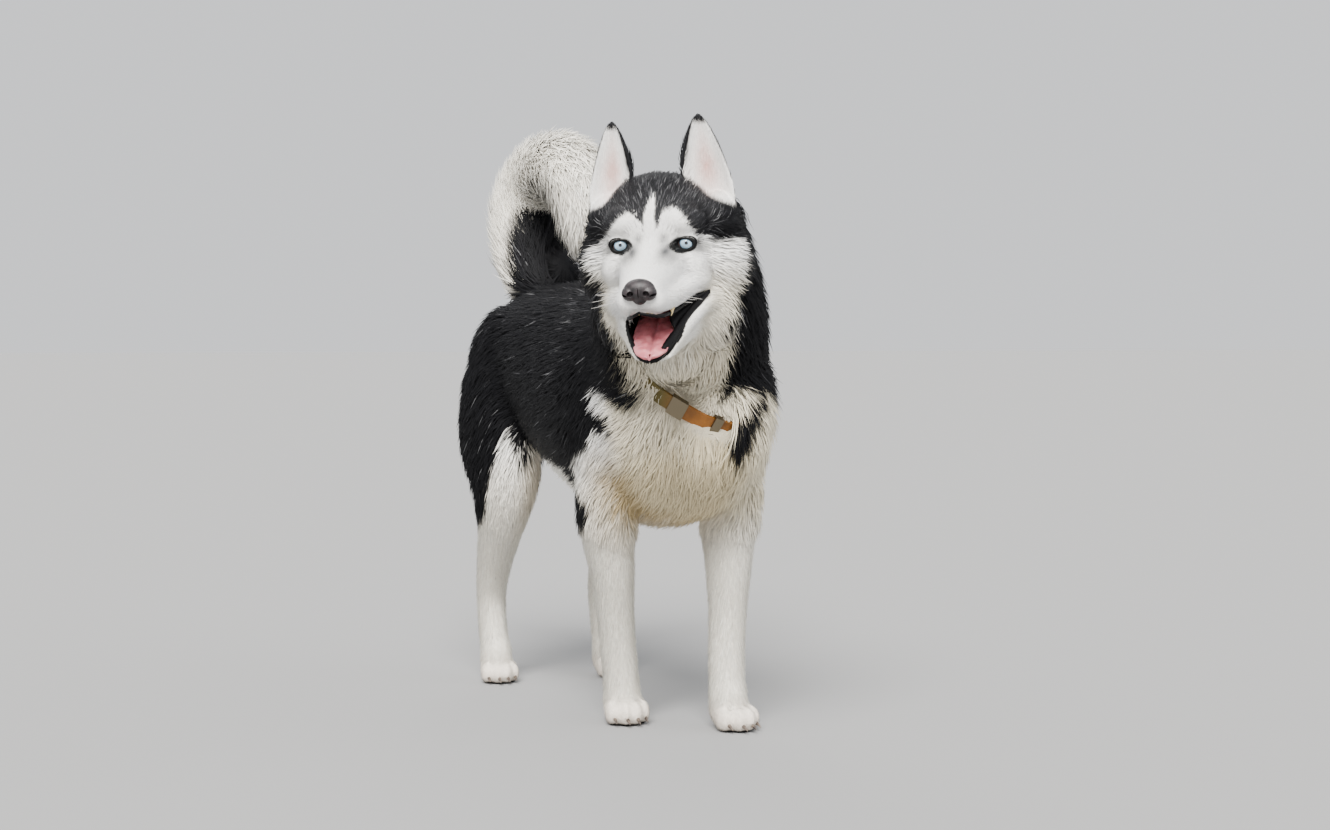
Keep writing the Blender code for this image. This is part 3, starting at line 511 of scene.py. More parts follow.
def along_line(u, v, line):
    """Distance from the points to a line of points, and how far along it they are."""
    points = np.stack((u, v), axis=1)
    best = np.full(len(points), 1e12)
    share = np.zeros(len(points))
    spans = len(line) - 1
    for i in range(spans):
        a, b = np.array(line[i]), np.array(line[i + 1])
        t = np.clip((points - a) @ (b - a) / ((b - a) @ (b - a)), 0, 1)
        far = np.linalg.norm(points - (a + t[:, None] * (b - a)), axis=1)
        nearer = far < best
        best[nearer] = far[nearer]
        share[nearer] = (i + t[nearer]) / spans
    return best, share


# Colours are linear, as the shader takes them.
WHITE = np.array((0.93, 0.915, 0.88))
CREAM = np.array((0.82, 0.71, 0.47))
TAN = np.array((0.46, 0.33, 0.14))
BLACK = np.array((0.006, 0.006, 0.0072))
GREY = np.array((0.13, 0.13, 0.135))
PINK = np.array((0.62, 0.33, 0.28))
RIM = np.array((0.004, 0.004, 0.004))
# Painted shade inside the open mouth: a dark red near black.
GULLET_SHADE = (0.02, 0.006, 0.007)

# The cap's lower edge on the face, in the head's x and z.
CAP_EDGE = (
    (-100, -26), (-91, -22), (-87, -10), (-73, -2), (-62, 5), (-52, 14), (-44, 24), (-35, 34),
    (-26, 38), (-19, 36), (-13, 24), (-9.5, 19), (8, 19), (10.5, 27), (14, 39), (23, 41), (33, 37),
    (41, 28), (49, 15), (57, 7), (66, 1), (79, 0), (91, -2), (105, -3), (115, -8),
)
# Where the black behind each cheek starts, as the head's z and y.
BEHIND_RIGHT = ((-140, 34), (-104, 22), (-76, 20), (-36, 36), (0, 40))
BEHIND_LEFT = ((-160, 110), (-119, 44), (-101, 40), (-66, 54), (-29, 56))
# The black coat's lower edge along a flank, as y and z.
FLANK_EDGE = (
    (-200, 445), (-130, 438), (-119, 426), (-101, 420), (-63, 430), (-8, 440), (-2, 388), (7, 364),
    (46, 349), (69, 344), (95, 335), (130, 328), (160, 334), (231, 336), (270, 320), (302, 306),
    (309, 350), (316, 374), (324, 330), (348, 284), (368, 249), (400, 232), (480, 222),
)
SPUR = ((10, 402), (-20, 400), (-56, 387), (-72, 376))
# The rear edge of the white on a foreleg, as z and y.
ELBOW_LINE = ((248, 44), (269, 19), (282, 16), (300, 33), (322, 80), (345, 100))
LEFT_PATCH = ((48, 430), (27, 404), (18, 381), (9, 362))
LEFT_BAND = ((-23, 408), (-13, 418), (16, 443), (37, 457), (60, 472))
FLECKS = ((178, 568), (150, 545), (129, 527), (128, 504), (123, 478), (119, 450))
# Grey smudges round an eye: place across and up, size and strength.
SMUDGES = ((19.5, -6, 8.5, 1), (15, 8, 6, 0.7), (28, -13, 6.5, 0.55), (51, -8, 6.5, 0.4), (30, 14, 6, 0.25))


def between(value, line):
    return np.interp(value, [p[0] for p in line], [p[1] for p in line])


def over_line(u, v, line, width):
    """1 above a line that gives v for each u, and 0 below it."""
    return soft(v, between(u, line), width)


def tail_place(points):
    """How far along the tail the points are, how much they face the inside of its curl and the
    dog's left, how far they are from its middle and how thick it is there."""
    rows = 1000 * np.array(smooth_rows(TAIL, 6))
    gaps = np.linalg.norm(points[:, None, 1:3] - rows[None, :, 1:3], axis=2)
    near = gaps.argmin(axis=1)
    along = unit(np.gradient(rows[:, 1:3], axis=0))
    inner = np.stack((-along[:, 1], along[:, 0]), axis=1)[near]
    offset = points - rows[near, :3]
    facing = 0.89 * (offset[:, 1:3] * inner).sum(axis=1) + 0.45 * offset[:, 0]
    facing /= np.linalg.norm(offset, axis=1) + 0.001
    return near / (len(rows) - 1), facing, gaps.min(axis=1), rows[near, 3]


def region_masks(points):
    """The points in the head's frame, and how much they belong to the head and to the tail."""
    h = points_in(HEAD, points)
    head = soft(h[:, 1] * -0.84 + (h[:, 2] + 50) * 0.55, -85, 20) * soft(h[:, 2], -175, 30)
    share, _, gap, radius = tail_place(points)
    tail = soft(points[:, 2], between(share, ((0, 560), (0.3, 560), (0.6, 600))), 12)
    tail = tail * under(gap, 1.2 * np.maximum(radius, 34) + 14, 10) * soft(points[:, 1], 200, 20)
    return h, head, tail


def black_share(points):
    """How black the coat is at each point, from its markings."""
    h, head, tail = region_masks(points)
    rough = 4 * ripple(points, 16) + 2.5 * ripple(points, 7, 2)
    x, y, z = h.T
    cap = over_line(x + rough, z + rough, CAP_EDGE, 6)
    stripe_middle = np.interp(z, (20, 34, 46, 61), (-1, -1.5, 0.5, 4.5))
    stripe_width = np.interp(z, (18, 30, 44, 52, 58, 62), (7.2, 6.2, 4.8, 2.8, 0, -6))
    stripe = soft(np.abs(x - stripe_middle) + rough * 0.3, stripe_width, 3.5)
    cap = cap * np.maximum(stripe, soft(y, 45, 20))
    behind = np.where(x < 0, between(z, BEHIND_RIGHT), between(z, BEHIND_LEFT))
    nape = soft(y + rough, behind, 10) * soft(np.abs(x - 4), 56, 14)
    nape = np.maximum(nape, soft(y, 88, 14) * soft(z, -60, 20))
    face = np.maximum(cap, nape)

    height = points[:, 2]
    x, y, z = points.T + rough
    far, share = along_line(y, z, SPUR)
    spur = under(far, 20 * (1 - share) + 3, 7)
    elbow = (soft(y, between(z, ELBOW_LINE), 8) * soft(z, 252, 14) * under(y, 130, 15)
             * soft(np.abs(x), 80, 8))
    black = np.maximum(np.maximum(over_line(y, z, FLANK_EDGE, 10), spur), elbow)
    bib_middle = np.interp(height, (425, 440, 470, 500), (-49, -49, -58, -60))
    bib_half = np.interp(height, (340, 400, 425, 440, 470, 500), (160, 105, 40, 44, 53, 57))
    bib = under(y + 0.35 * (z - 420), -62, 20) * under(np.abs(x - bib_middle), bib_half, 10)
    patch = under(along_line(x, z, LEFT_PATCH)[0], 12.5, 7) * under(y, -80, 30)
    band = soft(x, -5 - 0.25 * (450 - z), 10) * under(y, -60, 30)
    band = band * over_line(x, z, LEFT_BAND, 8) * (1 - head)
    black = np.maximum(black * (1 - bib), np.maximum(patch, band))

    share, facing = tail_place(points)[:2]
    limit = np.interp(share, (0.03, 0.11, 0.185, 0.295, 0.38, 0.45), (-1.2, -0.25, 0.05, 0.45, 0.79, 1.4))
    brush = soft(facing + rough * 0.008, limit, 0.34)
    return (black * (1 - head) + face * head) * (1 - tail) + brush * tail


def coat_colour(points):
    """The coat's colour at each point."""
    h, head, tail = region_masks(points)
    x, y, z = points.T
    hx, hy, hz = h.T
    stain = (spot(x, z, (-62, 306), (44, 50)) + spot(x, z, (8, 296), (36, 44))
             + 0.45 * spot(x, z, (-20, 345), (60, 30))) * under(y, 20, 60)
    light = WHITE
    for tint, share in (
            (CREAM, 0.36 * under(z, 330, 160) * (1 - head)),
            (TAN, np.clip(1.15 * stain * (1 + 0.35 * ripple(points, 30, 1)), 0, 0.9)),
            (TAN, 0.45 * spot(z, y, (300, 330), (70, 60)) * under(np.abs(x), 85, 30)),
            (CREAM, 0.7 * under(y, -50, 50) * soft(z, 270, 60) * under(z, 520, 60) * (1 - head)),
            (PINK, 0.16 * under(z, 30, 30)),
            (CREAM, 0.3 * tail),
            (CREAM, 0.55 * under(hz, -40, 60) * soft(hy, 0, 50) * head),
            (CREAM, 0.35 * spot(hz, hy, (-120, -50), (30, 50)) * head)):
        light = mix(light, tint, share)
    for sign in (1, -1):
        for aside, height, size, share in SMUDGES:
            smudge = share * spot(hx, hz, (sign * aside, height), (size, size))
            light = mix(light, GREY * 0.7, smudge * head * under(hy, 30, 20))
    under_nose = spot(hx, hz, (1, -60), (10.4, 6.5))
    light = mix(light, GREY, 0.5 * under_nose * head * under(hy, -70, 20))
    pepper = head * under(np.abs(hx), 60, 40) * under(hz, 65, 30) * under(hy, 75, 40)
    dark = mix(BLACK, GREY, 0.12 * pepper * (0.6 + 0.4 * ripple(points, 12, 3)))
    return mix(light, dark, black_share(points))


def clumps(points):
    """How far the short coat's clumps stand up at the points, from -1 to 1."""
    h, head, _ = region_masks(points)
    place = mix(points * (1, 1, 0.45), h * (1, 0.45, 1), head)
    return 0.6 * ripple(place, 12, 5) + 0.4 * ripple(place, 5.5, 1)


HAIR_WIDTH = 0.76
SEED_EDGE = 5.0
BATCH = 20000


class Lie:
    """How the coat grows, from seeds inside the body that each rule the skin around them."""

    def __init__(self):
        self.rows = []

    def seed(self, centre, radius, way, sizes, fan=0.0, frame=Matrix()):
        """Hair of these sizes, its length, rise and width, that lies this way round a centre."""
        place = frame @ Vector(mm(centre))
        lead = (frame.to_3x3() @ Vector(way)).normalized()
        length, rise, width = sizes
        self.rows.append((*[1000 * v for v in place], radius, *lead, length, rise, HAIR_WIDTH * width, fan))

    def seed_rows(self, rows, way, sizes, per_span=2):
        """Seeds down a mass. Where no way is given the hair lies along the mass."""
        fine = smooth_rows(rows, per_span)
        for i, row in enumerate(fine):
            ahead, behind = fine[min(i + 1, len(fine) - 1)], fine[max(i - 1, 0)]
            lead = way or [a - b for a, b in zip(ahead[:3], behind[:3])]
            self.seed([1000 * v for v in row[:3]], 500 * (row[3] + row[4]), lead, sizes)

    def ready(self):
        table = np.array(self.rows)
        self.centre, self.radius = table[:, :3], table[:, 3]
        self.way, self.sizes, self.fan = table[:, 4:7], table[:, 7:10], table[:, 10]

    def at(self, points):
        """The way the hair lies at the points, and its length, rise and width."""
        ways, sizes = [], []
        for start in range(0, len(points), BATCH):
            part = points[start:start + BATCH]
            offset = part[:, None, :] - self.centre[None]
            far = (offset ** 2).sum(axis=2) / self.radius ** 2
            weight = np.exp(-SEED_EDGE * (far - far.min(axis=1, keepdims=True)))
            weight /= weight.sum(axis=1, keepdims=True)
            fan = weight * self.fan / self.radius
            ways.append(weight @ self.way + (fan[:, :, None] * offset).sum(axis=1))
            sizes.append(weight @ self.sizes)
        return np.concatenate(ways), np.concatenate(sizes)


# Seeds in the head's frame: centre, radius, way, the hair's sizes and its fan.
MIDDLE_SEEDS = (
    ((0, -95, -48), 32, (0, 1, 0.1), (5, 1.2, 0.8), 0.35),
    ((0, -70, -44), 32, (0, 1, 0.1), (7, 1.5, 0.9), 0.35),
    ((0, -35, -37), 32, (0, 1, 0.1), (9, 1.8, 1), 0.35),
    ((0, 0, -27), 32, (0, 1, 0.3), (11, 2.4, 1), 0.35),
    ((0, 20, 10), 36, (0, 0.6, 0.8), (12, 3, 1.1), 0.3),
    ((0, 60, 30), 62, (0, 1, 0.35), (17, 5, 1.3), 0.2),
    ((0, 100, 10), 70, (0, 1, -0.5), (30, 9, 1.8), 0.1),
    *[([1000 * v for v in row[:3]], 30, (0, 1, -0.25), (10, 2.4, 1.1), 0.2) for row in JAW],
    ((10, 50, -125), 50, (0, 0.25, -1), (44, 15, 2.1), 0.1),
    ((10, 85, -160), 50, (0, 0.25, -1), (52, 18, 2.4), 0.1),
)
SIDE_SEEDS = (
    ((38.5, 0, 0), 15, (0.4, 0.6, 0.5), (5.5, 0.8, 0.9), 0.3),
    ((32, 18, 26), 30, (0.35, 0.6, 0.7), (12, 3.2, 1.1), 0),
    ((42, 12, -28), 30, (0.6, 0.7, -0.3), (12, 2.8, 1.1), 0),
    ((62, 60, -15), 46, (0.5, 0.8, -0.3), (26, 10, 1.6), 0.1),
    ((62, 70, -45), 46, (0.5, 0.7, -0.6), (34, 13, 1.8), 0.1),
    ((48, 58, -85), 44, (0.4, 0.5, -0.8), (38, 13.5, 1.8), 0.1),
    ((50, 10, -70), 30, (0.4, 0.8, -0.5), (14, 3.5, 1.2), 0.1),
    ((76, 46, 46), 26, (0.4, 0.3, 1), (14, 3, 1.2), 0.1),
)


def mirrored(place, sign):
    return sign * place[0], place[1], place[2]


def plan_lie():
    lie = Lie()
    lie.seed_rows(TORSO[2:8], (0, 1, -0.42), (36, 11, 2.1))
    lie.seed_rows(TORSO[:2], (0, 0.25, -1), (50, 16, 2.5), 1)
    lie.seed_rows(TORSO[8:], (0, 0.5, -1), (42, 12, 2.3), 1)
    lie.seed_rows(NECK[::-1], None, (56, 20, 2.7))
    for side, sign in SIGN.items():
        lie.seed_rows(leg_rows("fore", side)[1:], (0, 0.12, -1), (15, 4.4, 1.3))
        lie.seed_rows(leg_rows("hind", side)[2:], (0, 0.1, -1), (15, 4.4, 1.3))
        step, back = STANCE["fore"][side][0] * 0.55, STANCE["hind"][side][0] * 0.5
        for y, z, size in ((-6, 430, 85), (0, 370, 80), (4, 320, 62)):
            lie.seed((sign * 78, y + step, z), size, (0, 0.45, -1), (34, 10, 2))
        for y, z, size in ((420, 450, 100), (410, 370, 100), (390, 310, 72)):
            lie.seed((sign * 80, y + back, z), size, (0, 0.5, -1), (38, 11, 2.1))
        for kind in STANCE:
            paw = paw_frame(kind, side)
            lie.seed((0, -28, 20), 28, (0, -1, -0.5), (9, 1.6, 1.2), 0.3, paw)
            lie.seed((0, 10, 26), 30, (0, -0.3, -1), (12, 2.5, 1.3), 0, paw)
    lie.seed_rows(TAIL_CORE, None, (60, 28, 2.2))
    for seed in MIDDLE_SEEDS:
        lie.seed(*seed, HEAD)
    for sign in (1, -1):
        for centre, radius, way, sizes, fan in SIDE_SEEDS:
            lie.seed(mirrored(centre, sign), radius, mirrored(way, sign), sizes, fan, HEAD)
        for level in (0.25, 0.45, 0.65, 0.85):
            x, y, z = 1000 * np.array(EAR_BASE[sign].lerp(EAR_TIP[sign], level))
            lie.seed((sign * x, y + 8, z), 30 * (1 - 0.6 * level), (0, 0.1, 1), (12, 1.8, 1), 0.1, HEAD)
    lie.ready()
    return lie


def in_mouth(h, swell, lip=0):
    """Whether points in the head's frame lie inside the open mouth, or on the lower lip."""
    hx, hy, hz = h.T
    rows = np.array(MOUTH)[::-1]
    x, z, a, b = (np.interp(hy, rows[:, 1], rows[:, k]) for k in (0, 2, 3, 4))
    swell = np.where(hz < z - 2, swell + lip, swell)
    inside = ((hx - x) / (a + swell)) ** 2 + ((hz - z) / (b + swell)) ** 2 < 1
    top, bottom = (between(hy, [p[1:] for p in lips[0][3:]]) for lips in (UPPER_LIPS, LOWER_LIPS))
    corner = among(hx, 30, 70) & among(hy, -48, 8) & (hz < top) & (hz > bottom - 2)
    return inside & among(hy, -125, 30) | corner


def bare(points):
    """Where no hair grows: the mouth, the nose, the lids and the soles."""
    h = points_in(HEAD, points)
    none = in_mouth(h, 1.2, 4) | (points[:, 2] < 4) | (distance(h, (1, -106, -44), (19.5, 14, 15)) < 1)
    for sign in (1, -1):
        none |= distance(h, (sign * EYE_OUT, -4, 0), (13.2, 16, 8.8)) < 1
    return none


def ear_share(h):
    """How far up an ear the points are, their place across it, and 0 off the ears."""
    level, across, on_ear = np.zeros((3, len(h)))
    out = np.abs(h[:, 0])
    for sign in (1, -1):
        base, tip = 1000 * np.array(EAR_BASE[sign]), 1000 * np.array(EAR_TIP[sign])
        here = h[:, 0] * sign > 0
        up = (h[:, 2] - base[2]) / (tip[2] - base[2])
        width = 1000 * EAR_HALF_WIDTH[sign] * np.clip(1 - up, 0.02, 1) ** 0.66
        aside = (out - base[0] - (tip[0] - base[0]) * up) / width
        foot = soft(h[:, 2], between(out, EAR_FOOT[sign]), 6) * soft(out, EAR_FOOT[sign][0][0], 4)
        level[here], across[here], on_ear[here] = up[here], aside[here], foot[here]
    return level, across, on_ear * soft(h[:, 1], 20, 10) * under(h[:, 1], 94, 12) * under(out, 110, 8)


def finish_colour(points, normals, coat=True):
    """The colour of skin or coat, with the ears, lids, lips and soles, and painted shade inside the mouth."""
    h = points_in(HEAD, points)
    level, across, on_ear = ear_share(h)
    inner = soft(-(normals @ np.array(HEAD.to_3x3()))[:, 1], 0.05, 0.35)
    flush = spot(across, level, (-0.02, 0.36), (0.42, 0.36))
    cup = mix(WHITE, PINK, 0.95 * flush * (0.8 + 0.2 * ripple(points, 12)))
    inward = soft(-across, 0.78, 0.12) * soft(level, 0.22, 0.12)
    outward = soft(across, 0.77, 0.1) * soft(level, 0.18, 0.2)
    rim = np.maximum(np.maximum(inward, outward), soft(level, 0.88, 0.07))
    found = mix(coat_colour(points), mix(BLACK, cup, inner * (1 - rim)), on_ear)
    for sign in (1, -1):
        near = distance(h, (sign * 38, -4, -0.8), (16.6, 24, 9.8))
        found = mix(found, RIM, under(near, 1.02, 0.14))
        for corner, size in (((sign * 56, 12, 1), 5.5), ((sign * 23.5, -10, -3.5), 5.8)):
            found = mix(found, RIM, under(distance(h, corner), size, 4) * 0.85)
    if coat:
        return found
    found[in_mouth(h, 1.6, 4.8)] = RIM
    # Painted shade deep inside the open mouth.
    found[in_mouth(h, -0.8)] = GULLET_SHADE
    return mix(found, RIM * 3, under(points[:, 2], 4, 3)) * 0.9


def paint(mesh, colours):
    """Stores one colour a vertex as the attribute that the materials read."""
    layer = mesh.color_attributes.new("coat", "FLOAT_COLOR", "POINT")
    rgba = np.ones((len(colours), 4), np.float32)
    rgba[:, :3] = np.clip(colours, 0, 1)
    layer.data.foreach_set("color", rgba.ravel())


# One seeded source of all that varies in the coat.
RNG = np.random.default_rng(7)
# How often the tufts' area covers the skin's, and how many more there are in long hair and over
# the hidden part of the collar.
COVER = 4.4
LONG_DENSER = 2.2
RUFF_DENSER = 2.2
ROOT_DEPTH = 1.2
FLOOR_GAP = 0.0012
COAT_BUDGET = 1430000
PIECE_BUDGET = 195000
# Hair under SHORT is one straight spike, and longer hair bends over two or three steps.
SHORT = 16
LONG = 50
FEW_TUFTS = 50
COLLAR_AT = shifted(-0.011, -0.048, 0.488) @ Matrix((
    (0.985, -0.060, 0.161, 0), (0.060, 0.777, -0.627, 0), (-0.162, 0.627, 0.762, 0), (0, 0, 0, 1),
))
# The part of the strap that shows and the part that the ruff covers, in degrees round it.
COLLAR_SEEN = (-131, -88)
COLLAR_HIDDEN = (-165, -131)
COLLAR_REACH = 170


def collar_place(points):
    """Angle round the collar in degrees, height over its middle and reach from its centre."""
    x, y, z = points_in(COLLAR_AT, points).T
    return np.degrees(np.arctan2(y, x)), z, np.hypot(x, y)


def tuft_steps(length):
    return np.where(length < SHORT, 1, np.where(length < LONG, 2, 3))


def tuft_faces(steps):
    """How many triangles a tuft of so many steps has."""
    return 6 * steps - 3


def root_tufts(skin, lie):
    """Evenly spread roots over the skin, as many as the coat needs to cover it."""
    mesh = skin.data
    mesh.calc_loop_triangles()
    tris = read(mesh.loop_triangles, "vertices", int)
    corners = 1000 * read(mesh.vertices, "co")[tris]
    first, second, third = corners.transpose(1, 0, 2)
    area = 0.5 * np.linalg.norm(np.cross(second - first, third - first), axis=1)
    middle = corners.mean(axis=1)
    length, _, width = lie.at(middle)[1].T
    wanted = area * COVER / (0.5 * length * width)
    wanted *= 1 + LONG_DENSER * soft(length, 45, 20)
    wanted[bare(middle)] = 0
    angle, height, reach = collar_place(middle)
    start, end = COLLAR_SEEN
    ruff = among(height, -12, 40) & among(angle, COLLAR_HIDDEN[0], start - 3) & (reach < COLLAR_REACH)
    wanted[ruff] *= RUFF_DENSER
    shows = among(angle, start - 1, end + 1) & among(height, -9.5, 10.5)
    wanted[shows & (reach < COLLAR_REACH - 10) & (middle[:, 1] < 120)] = 0
    cost = (wanted * tuft_faces(tuft_steps(length))).sum()
    wanted *= min(1, COAT_BUDGET / cost) * 1
    ends = np.cumsum(wanted)
    face = np.searchsorted(ends, np.arange(0.5, ends[-1]))
    a, b = RNG.random((2, len(face)))
    over = a + b > 1
    a[over], b[over] = 1 - a[over], 1 - b[over]
    weight = np.stack((1 - a - b, a, b), axis=1)[:, :, None]
    normals = read(mesh.vertex_normals, "vector")[tris[face]]
    return (corners[face] * weight).sum(axis=1), unit((normals * weight).sum(axis=1))


def trace(tree, lie, place, up, length, steps, stray):
    """Place, normal and way at each step along each tuft as it follows the skin under it."""
    lead = lie.at(place)[0]
    turn = RNG.normal(0, stray, len(place))[:, None]
    path = []
    for step in range(steps + 1):
        lead = unit(lead - up * (lead * up).sum(axis=1)[:, None])
        bent = lead * np.cos(turn) + np.cross(up, lead) * np.sin(turn)
        path.append((place, up, bent))
        if step < steps:
            aim = place + bent * (length / steps)[:, None]
            found = [tree.find_nearest(q)[:2] for q in (aim / 1000).tolist()]
            near, skin_up = np.array(found).transpose(1, 0, 2)
            place = 1000 * near
            up = unit(up * 0.5 + skin_up * 0.5)
            lead = lie.at(place)[0]
    return np.array(path)


# A tuft's width at each step, and how light its root and its tip are: painted shade, darker toward the root
# where the coat shades it and lighter at the tip.
TUFT_SHAPE = {1: (1,), 2: (0.8, 1), 3: (0.7, 1, 0.75)}
ROOT_SHADE = 0.60
TIP_SHADE = 1.06
UV_SIZE = 0.003
UV_EDGE = 0.0005


def tuft_mesh(name, path, rise, width, roll, colours, seed_uv):
    """Joins bent, tapered, three-sided tufts into one mesh, painted, with painted shade toward their roots,
    and with its bake map.
    """
    steps = len(path) - 1
    rise, width, roll = rise[:, None], width[:, None], roll[:, None]
    verts, norms, shades, sides = [], [], [], []
    for k in range(steps):
        t = k / steps
        place, up, lead = path[k]
        across = np.cross(up, lead)
        side = across * np.cos(roll) + up * np.sin(roll)
        over = up * np.cos(roll) - across * np.sin(roll)
        centre = place + up * (-ROOT_DEPTH * (1 - t) + rise * t ** 0.80)
        half = 0.5 * TUFT_SHAPE[steps][k] * width
        verts += [centre + side * half, centre - side * half, centre + over * half * 0.7]
        norms += [up + 0.36 * side, up - 0.36 * side, up + 0.20 * over]
        shades += [t, t, t + 0.05]
        sides += [(-0.5, t), (0.5, t), (0.0, t)]
    place, up, lead = path[steps]
    verts.append(place + up * (rise * 0.96))
    norms.append(up + 0.3 * lead)
    shades.append(1.15)
    sides.append((0.0, 1.0))
    co = np.stack(verts, axis=1).reshape(-1, 3) / 1000 + np.array(PLACE)
    co[:, 2] = np.maximum(co[:, 2], FLOOR_GAP)

    tip = 3 * steps
    faces = []
    for k in range(steps - 1):
        for i in range(3):
            a, b = 3 * k + i, 3 * k + (i + 1) % 3
            faces += [(a, b + 3, b), (a, a + 3, b + 3)]
    faces += [(tip - 3 + (i + 1) % 3, tip - 3 + i, tip) for i in range(3)]
    first = np.arange(len(rise)) * (tip + 1)
    tris = (np.array(faces)[None] + first[:, None, None]).reshape(-1, 3)
    mesh = bpy.data.meshes.new(name)
    mesh.vertices.add(len(co))
    mesh.vertices.foreach_set("co", co.astype(np.float32).ravel())
    mesh.loops.add(len(tris) * 3)
    mesh.loops.foreach_set("vertex_index", tris.astype(np.int32).ravel())
    mesh.polygons.add(len(tris))
    mesh.polygons.foreach_set("loop_start", np.arange(0, len(tris) * 3, 3, dtype=np.int32))
    mesh.update(calc_edges=True)
    mesh.polygons.foreach_set("use_smooth", np.ones(len(tris), bool))

    # Painted shade: each tuft darkens toward its root, pale tufts less than dark ones, and lightens toward
    # its tip.
    paleness = np.clip(colours.mean(axis=1) / 0.6, 0, 1)[:, None]
    root = ROOT_SHADE + (0.23 if steps == 1 else 0.32) * paleness
    shade = root + (TIP_SHADE - root) * np.array(shades)
    paint(mesh, (colours[:, None, :] * shade[:, :, None]).reshape(-1, 3))
    uv = seed_uv[:, None, :] + (np.array(sides) - (0, 0.5))[None] * UV_SIZE
    uv = np.clip(uv.reshape(-1, 2), UV_EDGE, 1 - UV_EDGE)
    layer = mesh.uv_layers.new(name="OFBake")
    layer.uv.foreach_set("vector", uv[tris.ravel()].astype(np.float32).ravel())
    normal = unit(np.stack(norms, axis=1).reshape(-1, 3))
    mesh.normals_split_custom_set_from_vertices(normal.tolist())
    return link(bpy.data.objects.new(name, mesh))


def unwrap(points, normals):
    """A place on the skin's own unwrap: six flat charts, one for each way that the skin faces."""
    axis = np.abs(normals).argmax(axis=1)
    back = normals[np.arange(len(axis)), axis] < 0
    low, high = points.min(axis=0), points.max(axis=0)
    spread = 0.30 * (points - low) / max(high - low)
    uv = np.zeros((len(points), 2))
    for k in range(3):
        for flip in (False, True):
            pick = (axis == k) & (back == flip)
            uv[pick] = (0.015 + k * 0.333, 0.015 + flip * 0.5) + np.delete(spread[pick], k, axis=1)
    return uv


def coat_region(points):
    """The coat piece that each root belongs to."""
    h, head, tail = region_masks(points)
    x, y, z = points.T
    names = np.full(len(points), "coat_flank_left", dtype="U20")
    names[x < 0] = "coat_flank_right"
    names[(y > 300) & (z > 250)] = "coat_rump"
    names[(z <= 250) & (y < 200)] = "coat_fore_legs"
    names[(z <= 250) & (y >= 200)] = "coat_hind_legs"
    names[(y < -30) & (z > 250)] = "coat_chest"
    names[(collar_place(points)[1] > -5) & (y < 120) & (z > 360)] = "coat_neck"
    names[head > 0.5] = "coat_face"
    names[(head > 0.5) & ((h[:, 1] > 40) | (np.abs(h[:, 0]) > 55))] = "coat_cheeks"
    names[tail > 0.5] = "coat_tail"
    return names


def tuft_colours(points, normals, bright, fleck):
    """The tufts' colours, each a little lighter or darker by chance and by painted light and shade on the
    clumps, with light hairs strewn in the black.
    """
    found = finish_colour(points, normals) * bright[:, None]
    h, head, tail = region_masks(points)
    brow = (head > 0.5) & (h[:, 1] < 75) & (np.abs(h[:, 0]) < 80) & (h[:, 2] < 75)
    line = along_line(points[:, 1], points[:, 2], FLECKS)[0]
    column = (line < 6) & (points[:, 0] < -30) & (head < 0.1) & (tail < 0.1)
    odds = np.where(brow, 0.22, np.where(column, 0.30, 0.012))
    grey = (found.max(axis=1) < 0.06) & (fleck < odds)
    found[grey] = found[grey] * 2.5 + np.where(fleck[grey] < 0.3 * odds[grey], 0.11, 0.028)[:, None]
    return found


